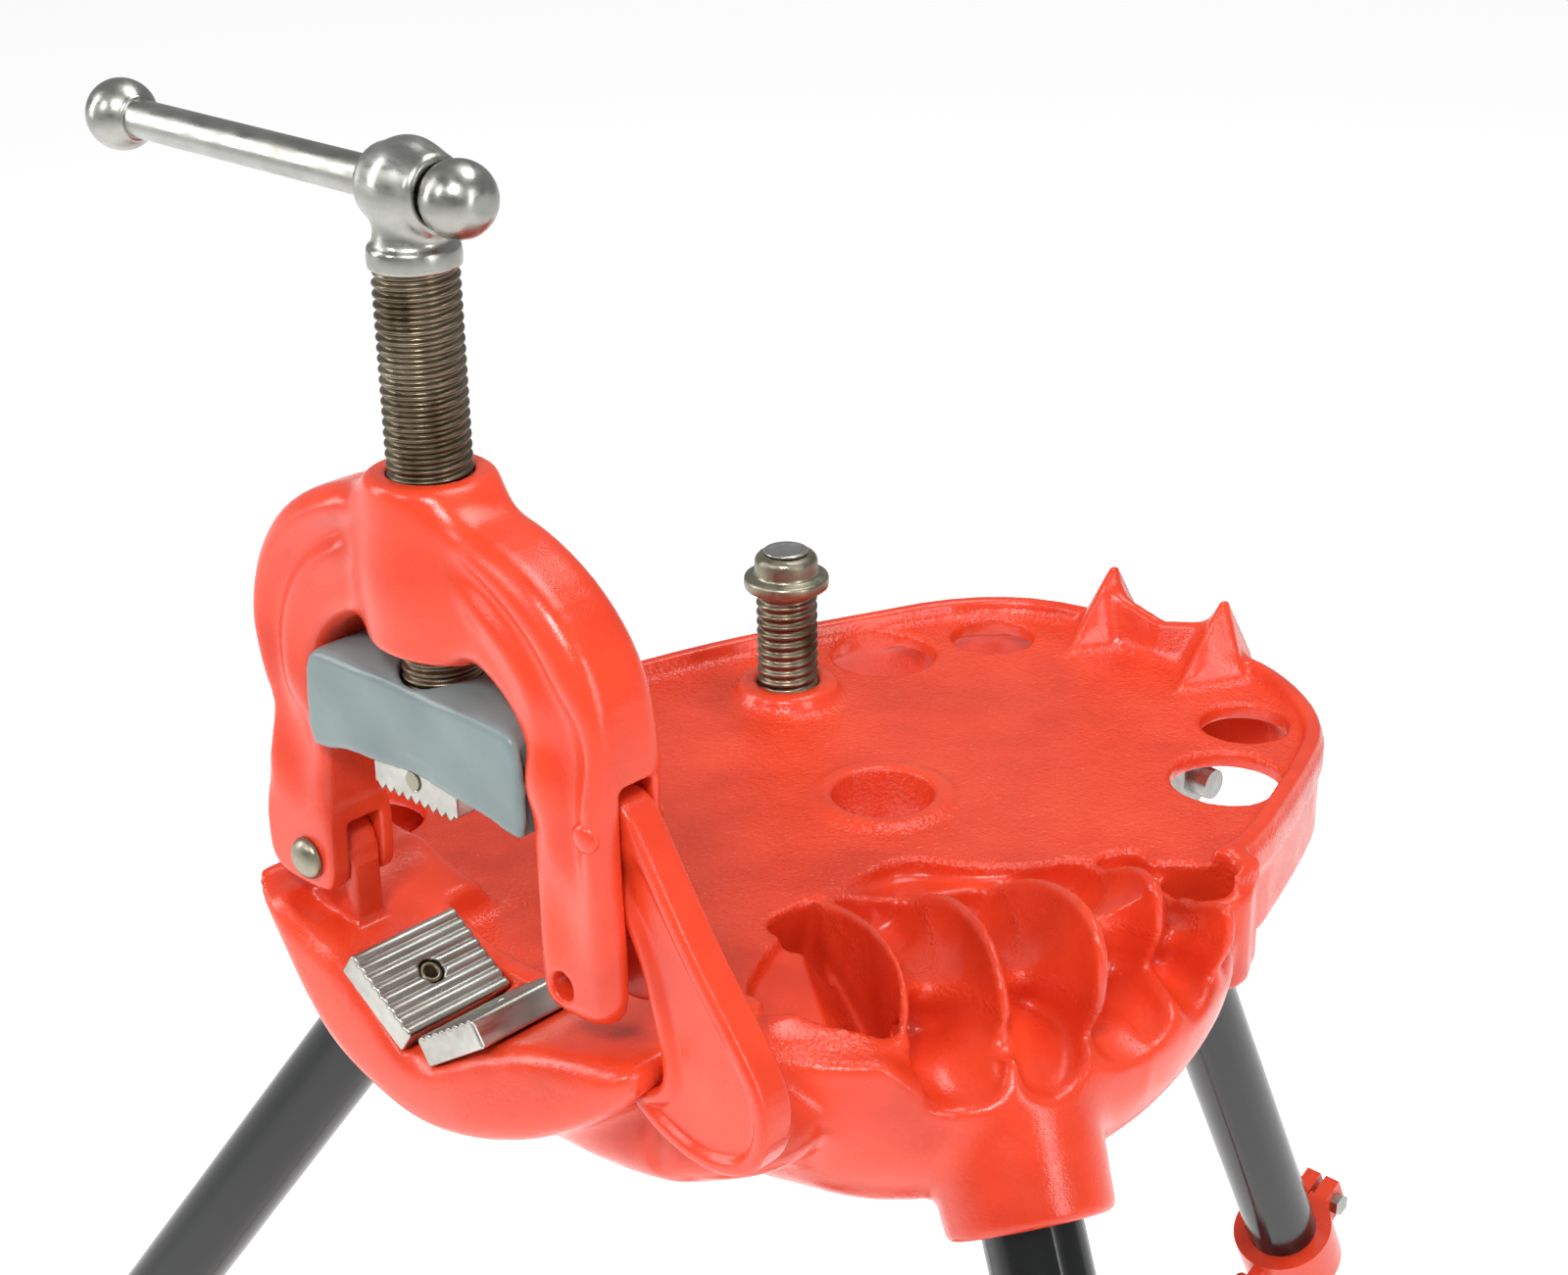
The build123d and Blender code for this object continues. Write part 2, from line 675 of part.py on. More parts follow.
def vise_screw():
    """Threaded shank drawn at its major diameter, waisted head with a cross hole."""
    body = rod(screw_d, carrier_socket + 1, screw_top)
    body -= Pos(0, 0, keeper_z) * (rod(screw_d + 2, -3, 3) - rod(groove_core_d, -4, 4))
    body += rod(screw_collar_d, screw_top, screw_top + 5)
    neck = Pos(0, 0, screw_top + 5) * Cone(
        screw_collar_d / 2, screw_head_d / 2 - 4, 6, align=(Align.CENTER,) * 2 + (Align.MIN,)
    )
    head = rod(screw_head_d, screw_top + 11, screw_head_top - 9)
    dome = Pos(0, 0, screw_head_top - screw_head_d / 2) * Sphere(screw_head_d / 2)
    dome &= block((-30, 30), (-30, 30), (screw_head_top - 16, screw_head_top + 1))
    body += neck + head + dome
    stop = ball_spacing + handle_left
    for x in (-stop, stop):
        body -= Pos(x, 0, handle_z) * Sphere(ball_d / 2 + pair_gap / 2)
    return body - along_x(handle_d + 2 * run_gap, -40, 40, 0, handle_z)


def handle_ball(x):
    """Ball pressed on the bar's end, with a flat spot where the bar ends."""
    side = -1 if x < 0 else 1
    ball = Pos(x, 0, handle_z) * Sphere(ball_d / 2)
    flat = ball_d / 2 - 0.8
    ball &= Pos(x, 0, handle_z) * Box(2 * flat, ball_d + 2, ball_d + 2)
    inner = x - side * ball_d
    low, high = sorted((inner, x + side * ball_d / 4))
    return ball - along_x(handle_d, low, high, 0, handle_z)


# ---- ceiling brace ----
def brace_cap():
    """Flanged cap that turns freely on the stud's reduced end."""
    body = rod(brace_flange_d, brace_cap_bottom, brace_cap_bottom + brace_flange)
    body += rod(brace_head_d, brace_cap_bottom + brace_flange, brace_cap_top)
    top = body.faces().sort_by(Axis.Z)[-1]
    body = chamfer(top.edges(), 2.0)
    body -= rod(brace_stud_d + 2 * run_gap, 0, 100)
    return Pos(*brace_at, 0) * body


def brace_stud():
    low = brace_cap_bottom - pair_gap - brace_thread_length
    body = rod(brace_d, low, brace_cap_bottom - pair_gap)
    body += rod(brace_stud_d, brace_cap_bottom - pair_gap, brace_cap_top + 0.6)
    end = rod(brace_stud_d + 2.4, brace_cap_top + pair_gap, brace_cap_top + 1.6)
    return Pos(*brace_at, 0) * (body + end)


# ---- legs ----
def leg_tube(name):
    reach = leg_reach(name) - foot_pad
    tube = rod(leg_d, -reach, -leg_r - eye_margin) - rod(leg_d - 2 * leg_wall, -reach - 1, 1)
    return leg_place(name) * tube


def leg_head(name):
    """Turned steel end: a rounded eye over a spigot in the tube."""
    split = -leg_r - eye_margin
    body = along_y(leg_d, -leg_r, leg_r) & rod(leg_d, -40, 40)
    body += rod(leg_d, split, 0)
    body += rod(leg_d - 2 * leg_wall, split - spigot_length, split)
    body -= along_y(pivot_bolt_d + 2 * run_gap, -30, 30)
    return leg_place(name) * body


def leg_foot(name):
    """Rubber tip, cut level with the floor."""
    reach = leg_reach(name)
    stub = Pos(0, 0, -reach - 30) * Cone(
        foot_d / 2 + 3, foot_d / 2 - 3, foot_length + 30, align=(Align.CENTER,) * 2 + (Align.MIN,)
    )
    stub -= rod(leg_d, -reach + foot_pad, 10)
    stub = leg_place(name) * stub
    above = block((-900, 900), (-900, 1500), (-deck_height, 0))
    return stub & above


def collar(name):
    """Clamp ring with a lug inwards for the link and a split with a bolt outwards."""
    along = collar_along[name]
    half = collar_length / 2
    body = rod(collar_d, -half, half)
    lug_face = [
        Polyline((-leg_r, -9), (-lug_reach, -9)),
        ThreePointArc((-lug_reach, -9), (-lug_reach - 9, 0), (-lug_reach, 9)),
        Polyline((-lug_reach, 9), (-leg_r, 9), (-leg_r, -9)),
    ]
    body += plate_xz(lug_face, -lug_thickness / 2, lug_thickness / 2)
    body += block((leg_r, leg_r + 20), (-9, 9), (-9, 9))
    body -= block((0, leg_r + 30), (-1.5, 1.5), (-half - 1, half + 1))
    body -= rod(leg_d, -half - 1, half + 1)
    body -= along_y(link_pin_d, -20, 20, -lug_reach, 0)
    body -= along_y(clamp_bolt_d, -20, 20, leg_r + 13, 0)
    return leg_place(name) * Pos(0, 0, -along) * body


def collar_bolt(name):
    """Clamp bolt and nut across the collar's split."""
    body = along_y(clamp_bolt_d, -9, 12)
    body += Pos(0, -9, 0) * Rot(90, 0, 0) * extrude(RegularPolygon(5.5, 6), 4)
    body += Pos(0, 9, 0) * Rot(-90, 0, 0) * extrude(RegularPolygon(5.5, 6), 5)
    along = collar_along[name]
    return leg_place(name) * Pos(leg_r + 13, 0, -along) * body


link_low = lug_thickness / 2 + pair_gap
link_high = link_low + link_thickness


def collar_pin_solid(name):
    """Rivet fixed in the collar's lug, with the link running on it."""
    body = along_y(link_pin_d, -lug_thickness / 2, link_high + pair_gap)
    body += along_y(link_pin_d + 6, -lug_thickness / 2 - 3, -lug_thickness / 2)
    body += along_y(link_pin_d + 6, link_high + pair_gap, link_high + pair_gap + 3)
    along = collar_along[name]
    return leg_place(name) * Pos(-lug_reach, 0, -along) * body


def radial_place(name):
    azimuth = legs[name][0]
    return Pos(0, tripod_centre_y, 0) * Rot(0, 0, azimuth)


def link_ends(name):
    """Tray pin and collar pin as (radius, height)."""
    azimuth, radius, lean = legs[name]
    return (tray_pin_radius, -tray_drop), collar_pin(collar_along[name], radius, lean)


def tray_link(name):
    """Flat strap from the collar to the tray, beside both lugs."""
    (x0, z0), (x1, z1) = link_ends(name)
    length = sqrt((x1 - x0) ** 2 + (z1 - z0) ** 2)
    tilt = degrees(atan2(z1 - z0, x1 - x0))
    half = link_width / 2
    edges = [
        Line((0, -half), (length, -half)),
        ThreePointArc((length, -half), (length + half, 0), (length, half)),
        Line((length, half), (0, half)),
        ThreePointArc((0, half), (-half, 0), (0, -half)),
    ]
    strap = plate_xz(edges, link_low, link_high)
    strap -= along_y(link_pin_d + 2 * run_gap, -20, 20, length, 0)
    return radial_place(name) * Pos(x0, 0, z0) * Rot(0, -tilt, 0) * strap


def link_rivet_head(name):
    """Half of the rivet at the tray end that stays with the strap."""
    head = along_y(link_pin_d + 6, link_high, link_high + 3, tray_pin_radius, -tray_drop)
    return radial_place(name) * head


# ---- tray ----
def tray_outline(inset):
    points = []
    for name in ("front_right", "rear", "front_left"):
        azimuth = legs[name][0]
        for turn in (-1, 1):
            a = radians(azimuth + turn * 32)
            r = (tray_flat / cos(radians(32))) - inset
            points.append((r * cos(a), r * sin(a)))
    return outline(points, 18.0)


def tool_tray():
    """Shallow three-sided dish with a lug towards each leg."""
    low = -tray_drop - tray_rim_drop - tray_rim
    shell = Pos(0, 0, low) * extrude(tray_outline(0), tray_rim)
    shell -= Pos(0, 0, low + tray_floor) * extrude(tray_outline(tray_wall), tray_rim)
    shell -= Pos(0, 0, low) * rod(60, -5, 5 + tray_floor)
    body = Pos(0, tripod_centre_y, 0) * shell
    r = tray_lug_r
    lug_edges = [
        Polyline((tray_pin_radius + r, -tray_drop), (tray_pin_radius + r, low + tray_rim / 2),
                 (tray_flat - 1, low), (tray_flat - 1, low + tray_rim),
                 (tray_pin_radius - r, -tray_drop - r), (tray_pin_radius - r, -tray_drop)),
        ThreePointArc((tray_pin_radius - r, -tray_drop), (tray_pin_radius, -tray_drop + r),
                      (tray_pin_radius + r, -tray_drop)),
    ]
    for name in legs:
        body += radial_place(name) * plate_xz(lug_edges, -lug_thickness / 2, lug_thickness / 2)
    return body


def tray_rivet_head(name):
    low = -lug_thickness / 2 - 3
    head = along_y(link_pin_d + 6, low, -lug_thickness / 2, tray_pin_radius, -tray_drop)
    return radial_place(name) * head


# ---- leg pivot fasteners ----
bolt_end = cheek_half + 20.0


def pivot_bolt(name):
    body = along_y(pivot_bolt_d, -cheek_half - 2.5, bolt_end)
    body += Pos(0, -cheek_half - 2.5, 0) * Rot(90, 0, 0) * extrude(RegularPolygon(11, 6), 7.5)
    return leg_place(name) * turn_end(name) * body


def pivot_washers(name):
    low = along_y(24, -cheek_half - 2.5, -cheek_half)
    high = along_y(24, cheek_half, cheek_half + 2.5)
    ring = (low + high) - along_y(pivot_bolt_d, -60, 60)
    return leg_place(name) * turn_end(name) * ring


def pivot_nut(name):
    nut = Pos(0, cheek_half + 2.5, 0) * Rot(-90, 0, 0) * extrude(RegularPolygon(11, 6), 10)
    nut -= along_y(pivot_bolt_d, -60, 60)
    return leg_place(name) * turn_end(name) * nut


def turn_end(name):
    """The rear bolt goes in from the left, so that its nut is on the right."""
    return Rot(0, 0, 180) if name == "rear" else Rot(0, 0, 0)


# ---- all pieces ----
parts["base_casting"] = base_casting()
parts["lower_jaw_left"] = lower_jaw(-1)
parts["lower_jaw_right"] = lower_jaw(1)
parts["lower_jaw_pins"] = Compound(children=[jaw_pin(-1), jaw_pin(1)])
parts["yoke_hinge_rivet"] = hinge_rivet()
parts["yoke"] = yoke()
parts["hook_pin"] = hook_pin()
parts["latch_hook"] = latch_hook()
parts["upper_jaw_holder"] = upper_jaw_holder()
parts["upper_jaw"] = upper_jaw()
pin_reach = upper_jaw_half_depth + 0.5
parts["upper_jaw_pin"] = along_y(upper_jaw_pin_d, -pin_reach, pin_reach, 0, carrier_bottom - 1)
keepers = [along_y(keeper_d, -15.5, 15.5, x, keeper_z) for x in (-keeper_x, keeper_x)]
parts["screw_keeper_pins"] = Compound(children=keepers)
parts["vise_screw"] = vise_screw()
bar_low = handle_left - ball_d / 4
bar_high = handle_left + ball_spacing + ball_d / 4
parts["handle_bar"] = along_x(handle_d, bar_low, bar_high, 0, handle_z)
parts["handle_ball_left"] = handle_ball(handle_left)
parts["handle_ball_right"] = handle_ball(handle_left + ball_spacing)
parts["brace_cap"] = brace_cap()
parts["brace_stud"] = brace_stud()
parts["tool_tray"] = tool_tray()
for name in legs:
    parts[f"leg_tube_{name}"] = leg_tube(name)
    parts[f"leg_head_{name}"] = leg_head(name)
    parts[f"leg_foot_{name}"] = leg_foot(name)
    parts[f"leg_collar_{name}"] = collar(name)
    parts[f"collar_bolt_{name}"] = collar_bolt(name)
    parts[f"collar_pin_{name}"] = collar_pin_solid(name)
    parts[f"tray_link_{name}"] = tray_link(name)
    parts[f"link_rivet_head_{name}"] = link_rivet_head(name)
    parts[f"tray_rivet_head_{name}"] = tray_rivet_head(name)
    parts[f"leg_pivot_bolt_{name}"] = pivot_bolt(name)
parts["leg_pivot_washers"] = Compound(children=[s for n in legs for s in pivot_washers(n).solids()])
parts["leg_pivot_nuts"] = Compound(children=[pivot_nut(n) for n in legs])

# ---- move to the floor frame and write ----
boxes = [p.bounding_box() for p in parts.values()]
middle_x = (min(b.min.X for b in boxes) + max(b.max.X for b in boxes)) / 2
middle_y = (min(b.min.Y for b in boxes) + max(b.max.Y for b in boxes)) / 2
to_floor = Location((-middle_x, -middle_y, deck_height))
os.makedirs("parts", exist_ok=True)
for name, shape in parts.items():
    export_step(shape.moved(to_floor), f"parts/{name}.step")


def floor_point(x, y, z):
    return [round((x - middle_x) / 1000, 6), round((y - middle_y) / 1000, 6),
            round((z + deck_height) / 1000, 6)]


print("shift", -middle_x, -middle_y, deck_height)
print("yoke hinge", floor_point(hinge_x, 0, hinge_z))
print("hook hinge", floor_point(hook_pin_x, 0, hook_pin_z))
print("screw axis", floor_point(0, 0, handle_z), "brace", floor_point(*brace_at, 50))
print("handle travel", ball_spacing - 2 * (handle_left + ball_spacing))
print("tray lift", tray_lift, "front collar along", front_collar_along)
print("yoke swing", yoke_open_angle, "hook swing", hook_swing)
print("jaw travel", -jaw_down, jaw_up, "screw pitch", screw_pitch)
print("brace travel", -brace_down, brace_up, "brace pitch", brace_pitch)
for name, (azimuth, radius, lean) in legs.items():
    a = radians(azimuth)
    pivot = (radius * cos(a), tripod_centre_y + radius * sin(a), -pivot_drop)
    (x0, z0), (x1, z1) = link_ends(name)
    pin = (x1 * cos(a), tripod_centre_y + x1 * sin(a), z1)
    down_r, down_z = collar_pin(collar_along[name], radius, 0)
    rest_tilt = degrees(atan2(z0 - z1, x0 - x1))
    fold_tilt = degrees(atan2(tray_lift_z - down_z, tray_pin_radius - down_r))
    print(name, "pivot", floor_point(*pivot), "axis", [round(-sin(a), 6), round(cos(a), 6), 0],
          "lean", lean, "link pin", floor_point(*pin), "tilts", rest_tilt, fold_tilt)
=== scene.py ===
import json
import math

import bmesh
import bpy
import numpy as np
from mathutils import Matrix, Vector


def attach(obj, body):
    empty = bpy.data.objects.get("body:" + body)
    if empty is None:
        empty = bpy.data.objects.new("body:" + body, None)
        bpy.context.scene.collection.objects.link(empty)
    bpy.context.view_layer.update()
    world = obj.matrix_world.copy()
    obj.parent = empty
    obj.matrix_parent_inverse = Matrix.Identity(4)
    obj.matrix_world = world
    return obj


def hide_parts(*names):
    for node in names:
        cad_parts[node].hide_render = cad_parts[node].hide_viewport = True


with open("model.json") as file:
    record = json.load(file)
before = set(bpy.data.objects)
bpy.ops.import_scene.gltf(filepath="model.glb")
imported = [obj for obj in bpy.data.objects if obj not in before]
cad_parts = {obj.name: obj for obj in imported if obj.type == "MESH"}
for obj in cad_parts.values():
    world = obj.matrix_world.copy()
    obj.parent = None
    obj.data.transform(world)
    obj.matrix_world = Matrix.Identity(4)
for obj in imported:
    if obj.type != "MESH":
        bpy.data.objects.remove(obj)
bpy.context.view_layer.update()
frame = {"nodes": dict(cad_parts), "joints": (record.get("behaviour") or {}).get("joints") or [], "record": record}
joints = {j["name"]: j for j in frame["joints"]}
mounts = {m["name"]: m for m in frame["record"]["mounts"]}

# shapes are worked out in mm around the vise: x and y from the screw, z from the deck's top face
deckTop = mounts["centre_hole"]["pos_m"][2] + 0.0025
home = np.array([joints["screw_turn"]["pos_m"][0], joints["screw_turn"]["pos_m"][1], deckTop])

# places that several pieces share, in those mm
studAt = (-85.3, 237.2)
hingeAt = (-60, 38.5)
hookPinAt = (74, 93)
headZ = 265.2


def openGrid(low, high, step):
    # three broadcastable axes in mm
    axes = [np.arange(a, b + step, step, dtype=np.float32) for a, b in zip(low, high)]
    x = axes[0][:, None, None]
    y = axes[1][None, :, None]
    z = axes[2][None, None, :]
    return (x, y, z)


def smoothStep(v, a, b):
    # 0 before a, 1 after b, a cubic between
    t = np.clip((v - a) / (b - a), 0, 1)
    return t * t * (3 - 2 * t)


def join(a, b, k):
    # smaller of two fields, with a fillet of about k where they meet
    h = np.clip(0.5 + 0.5 * (b - a) / k, 0, 1)
    return b + (a - b) * h - k * h * (1 - h)


def cut(a, b, k):
    # field a with the inside of b taken away, the new edge rounded by k
    return -join(-a, b, k)


def meet(a, b, k):
    # larger of two fields, its edge rounded by k
    return -join(-a, -b, k)


def bump(u, width):
    # bell curve of height 1
    return np.exp(-(u / width) ** 2)


def ball(p, c, r):
    return np.sqrt((p[0] - c[0]) ** 2 + (p[1] - c[1]) ** 2 + (p[2] - c[2]) ** 2) - r


def egg(p, c, r):
    # ellipsoid with three half axes, as a near distance
    q = [(p[i] - c[i]) / r[i] for i in range(3)]
    n = np.sqrt(q[0] ** 2 + q[1] ** 2 + q[2] ** 2)
    return (n - 1) * min(r)


def post(p, c, r, low, high, k=1.0, axis=2):
    # cylinder along one axis, its rims rounded by k
    u, v = [i for i in range(3) if i != axis]
    radial = np.sqrt((p[u] - c[0]) ** 2 + (p[v] - c[1]) ** 2) - r
    return meet(radial, np.abs(p[axis] - (low + high) / 2) - (high - low) / 2, k)


def slab(p, low, high, k=1.0):
    # box between two corners, its edges rounded by k
    f = None
    for i in range(3):
        g = np.abs(p[i] - (low[i] + high[i]) / 2) - (high[i] - low[i]) / 2
        f = g if f is None else meet(f, g, k)
    return f


def outlineField(u, v, points):
    # signed distance to a closed outline in a plane: nearest edge, negative inside by crossings
    pts = np.array(points, np.float32)
    best = np.full(np.broadcast(u, v).shape, 1e9, np.float32)
    inside = np.zeros(best.shape, bool)
    for (ax, ay), (bx, by) in zip(pts, np.roll(pts, -1, 0)):
        ex, ey = bx - ax, by - ay
        t = np.clip(((u - ax) * ex + (v - ay) * ey) / max(ex * ex + ey * ey, 1e-9), 0, 1)
        best = np.minimum(best, (u - ax - t * ex) ** 2 + (v - ay - t * ey) ** 2)
        if abs(ey) > 1e-9:
            crossed = ((ay > v) != (by > v)) & (u < ax + ex * (v - ay) / ey)
            inside ^= crossed
    best = np.sqrt(best)
    return np.where(inside, -best, best)


def curved(points, rounds=2):
    # corner cutting: each pass replaces a corner by two points a quarter along its sides
    pts = np.array(points, float)
    for _ in range(rounds):
        after = np.roll(pts, -1, 0)
        pts = np.stack([0.75 * pts + 0.25 * after, 0.25 * pts + 0.75 * after], 1).reshape(-1, 2)
    return pts


def netSurface(field, low, step):
    # one vertex in each cell that the surface passes, at the mean of its edge crossings,
    # and one square for each grid edge that changes sign
    solid = field < 0
    n = np.array(field.shape) - 1
    count = np.zeros(tuple(n), np.int8)
    for i in (0, 1):
        for j in (0, 1):
            for k in (0, 1):
                count += solid[i:i + n[0], j:j + n[1], k:k + n[2]]
    cells = np.argwhere((count > 0) & (count < 8))
    index = np.full(tuple(n), -1, np.int32)
    index[tuple(cells.T)] = np.arange(len(cells))
    total = np.zeros((len(cells), 3))
    hits = np.zeros(len(cells))
    for axis in range(3):
        others = [i for i in range(3) if i != axis]
        for p in (0, 1):
            for q in (0, 1):
                start = np.zeros(3, int)
                start[others[0]], start[others[1]] = p, q
                end = start.copy()
                end[axis] = 1
                a = field[tuple((cells + start).T)]
                b = field[tuple((cells + end).T)]
                crossing = (a < 0) != (b < 0)
                t = np.where(crossing, a / np.where(crossing, a - b, 1), 0)
                total += crossing[:, None] * (start + t[:, None] * (end - start))
                hits += crossing
    verts = (cells + total / hits[:, None]) * step + np.array(low)
    faces = []
    for axis in range(3):
        u, v = (axis + 1) % 3, (axis + 2) % 3
        first = [slice(None)] * 3
        second = [slice(None)] * 3
        first[axis], second[axis] = slice(0, -1), slice(1, None)
        flips = solid[tuple(first)] != solid[tuple(second)]
        edges = np.argwhere(flips)
        keep = (edges[:, u] > 0) & (edges[:, v] > 0)
        keep &= (edges[:, u] < n[u]) & (edges[:, v] < n[v])
        edges = edges[keep]
        corner = []
        for du, dv in ((1, 1), (0, 1), (0, 0), (1, 0)):
            c = edges.copy()
            c[:, u] -= du
            c[:, v] -= dv
            corner.append(index[tuple(c.T)])
        quad = np.stack(corner, 1)
        outward = solid[tuple(edges.T)]
        quad[~outward] = quad[~outward][:, ::-1]
        faces.append(quad)
    return verts, np.concatenate(faces)


def gridFaces(rows, columns, closeRows=False, closeColumns=False):
    # squares between neighbouring points of a rows by columns grid
    r = np.arange(rows if closeRows else rows - 1)
    c = np.arange(columns if closeColumns else columns - 1)
    a, b = np.meshgrid(r, c, indexing="ij")
    a, b = a.ravel(), b.ravel()
    a2, b2 = (a + 1) % rows, (b + 1) % columns
    return np.stack([a * columns + b, a2 * columns + b, a2 * columns + b2, a * columns + b2], 1)


def putPiece(name, verts, faces, body, material, replaces=(), flat=False):
    # verts in mm around the vise; the object stays at the origin with its place in the mesh
    mesh = bpy.data.meshes.new(name)
    rows = faces.tolist() if hasattr(faces, "tolist") else faces
    mesh.from_pydata((np.asarray(verts) * 0.001 + home).tolist(), [], rows)
    mesh.update()
    if not flat:
        mesh.shade_smooth()
    piece = bpy.data.objects.new(name, mesh)
    bpy.context.scene.collection.objects.link(piece)
    mesh.materials.append(material)
    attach(piece, body)
    if replaces:
        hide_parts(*replaces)
    return piece


def thin(piece, most):
    # collapses the flattest parts of a dense casting until it has at most that many triangles
    mesh = piece.data
    count = 2 * len(mesh.polygons)
    if len(mesh.polygons) < 1000:
        count = sum(len(p.vertices) - 2 for p in mesh.polygons)
    if count <= most:
        return piece
    fewer = piece.modifiers.new("fewer", "DECIMATE")
    fewer.ratio = most / count
    graph = bpy.context.evaluated_depsgraph_get()
    light = bpy.data.meshes.new_from_object(piece.evaluated_get(graph))
    piece.modifiers.clear()
    piece.data = light
    light.shade_smooth()
    return piece


def castPiece(name, field, low, step, body, material, replaces=(), most=190000):
    verts, faces = netSurface(np.ascontiguousarray(field, np.float32), low, step)
    piece = putPiece(name, verts, faces, body, material, replaces)
    thin(piece, most)
    print("cast", name, len(piece.data.polygons))
    return piece


def turnedPiece(name, profile, centre, direction, body, material, replaces=(), steps=48):
    # lathe work: a profile of (radius, height) turned about a line, closed on the axis at both ends
    prof = np.array(profile, float)
    angle = np.linspace(0, 2 * np.pi, steps, endpoint=False)
    d = np.array(direction, float)
    d /= np.linalg.norm(d)
    side = np.cross(d, [0, 0, 1.0]) if abs(d[2]) < 0.9 else np.cross(d, [1.0, 0, 0])
    side /= np.linalg.norm(side)
    other = np.cross(d, side)
    ring = np.cos(angle)[None, :, None] * side + np.sin(angle)[None, :, None] * other
    verts = np.array(centre) + prof[:, 0, None, None] * ring + prof[:, 1, None, None] * d
    rows = len(prof)
    faces = gridFaces(rows, steps, closeColumns=True)[:, ::-1]
    verts = verts.reshape(-1, 3)
    ends = np.array([np.array(centre) + prof[0, 1] * d, np.array(centre) + prof[-1, 1] * d])
    c = np.arange(steps)
    base = len(verts)
    capLow = [[base, int(a), int((a + 1) % steps)] for a in c]
    top = (rows - 1) * steps
    capHigh = [[base + 1, int(top + (a + 1) % steps), int(top + a)] for a in c]
    allFaces = faces.tolist() + capLow + capHigh
    mesh = bpy.data.meshes.new(name)
    mesh.from_pydata((np.concatenate([verts, ends]) * 0.001 + home).tolist(), [], allFaces)
    mesh.update()
    piece = bpy.data.objects.new(name, mesh)
    bpy.context.scene.collection.objects.link(piece)
    mesh.materials.append(material)
    tidyNormals(mesh)
    mesh.shade_smooth()
    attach(piece, body)
    if replaces:
        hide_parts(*replaces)
    return piece


def tidyNormals(mesh):
    # merges doubles and points the faces outwards
    work = bmesh.new()
    work.from_mesh(mesh)
    bmesh.ops.remove_doubles(work, verts=work.verts, dist=1e-7)
    bmesh.ops.recalc_face_normals(work, faces=work.faces)
    work.to_mesh(mesh)
    work.free()


def node(tree, kind, **values):
    made = tree.nodes.new(kind)
    for key, value in values.items():
        if key in made.inputs:
            made.inputs[key].default_value = value
        else:
            setattr(made, key, value)
    return made


def newFinish(name, colour, metal, rough, spec=0.5):
    material = bpy.data.materials.new(name)
    material.use_nodes = True
    tree = material.node_tree
    shader = tree.nodes["Principled BSDF"]
    shader.inputs["Base Color"].default_value = (*colour, 1)
    shader.inputs["Metallic"].default_value = metal
    shader.inputs["Roughness"].default_value = rough
    shader.inputs["Specular IOR Level"].default_value = spec
    place = node(tree, "ShaderNodeTexCoord")
    return material, tree, shader, place


def noise(tree, place, scale, detail=3.0, stretch=None):
    made = node(tree, "ShaderNodeTexNoise", Scale=scale, Detail=detail)
    source = place.outputs["Object"]
    if stretch:
        mapping = node(tree, "ShaderNodeMapping")
        mapping.inputs["Scale"].default_value = stretch
        tree.links.new(source, mapping.inputs["Vector"])
        source = mapping.outputs["Vector"]
    tree.links.new(source, made.inputs["Vector"])
    return made.outputs["Fac"]


def ramp(tree, source, stops):
    # stops are (place, colour) pairs
    made = node(tree, "ShaderNodeValToRGB")
    while len(made.color_ramp.elements) < len(stops):
        made.color_ramp.elements.new(0.5)
    for element, (at, colour) in zip(made.color_ramp.elements, stops):
        element.position = at
        element.color = (*colour, 1) if len(colour) == 3 else colour
    tree.links.new(source, made.inputs["Fac"])
    return made.outputs["Color"]


def spread(tree, source, low, high, a=0.3, b=0.7):
    made = node(tree, "ShaderNodeMapRange")
    made.inputs["From Min"].default_value = a
    made.inputs["From Max"].default_value = b
    made.inputs["To Min"].default_value = low
    made.inputs["To Max"].default_value = high
    tree.links.new(source, made.inputs["Value"])
    return made.outputs["Result"]


def addBump(tree, shader, heights, distance=0.0004):
    # heights are (socket, strength); each bump feeds the next
    last = None
    for source, strength in heights:
        made = node(tree, "ShaderNodeBump")
        made.inputs["Strength"].default_value = strength
        made.inputs["Distance"].default_value = distance
        tree.links.new(source, made.inputs["Height"])
        if last is not None:
            tree.links.new(last, made.inputs["Normal"])
        last = made.outputs["Normal"]
    tree.links.new(last, shader.inputs["Normal"])


def redEnamel():
    # semi-gloss enamel over a sand casting: the grain is strong where the attribute sand is 1
    look = dict(colour=(0.72, 0.050, 0.016), light=(0.78, 0.064, 0.022), dark=(0.60, 0.036, 0.010))
    material, tree, shader, place = newFinish("redEnamel", look["colour"], 0.0, 0.36, 0.5)
    cloud = noise(tree, place, 26.0, 4.0)
    tint = ramp(tree, cloud, [(0.3, look["dark"]), (0.5, look["colour"]), (0.72, look["light"])])
    tree.links.new(tint, shader.inputs["Base Color"])
    sand = node(tree, "ShaderNodeAttribute", attribute_name="sand")
    grain = noise(tree, place, 620.0, 2.0)
    pebble = noise(tree, place, 1500.0, 2.0)
    swell = noise(tree, place, 90.0, 3.0)
    strength = node(tree, "ShaderNodeMath", operation="MULTIPLY")
    tree.links.new(grain, strength.inputs[0])
    tree.links.new(sand.outputs["Fac"], strength.inputs[1])
    tree.links.new(spread(tree, swell, 0.17, 0.30), shader.inputs["Roughness"])
    addBump(tree, shader, [(swell, 0.12), (strength.outputs[0], 1.0), (pebble, 0.12)], 0.0008)
    return material


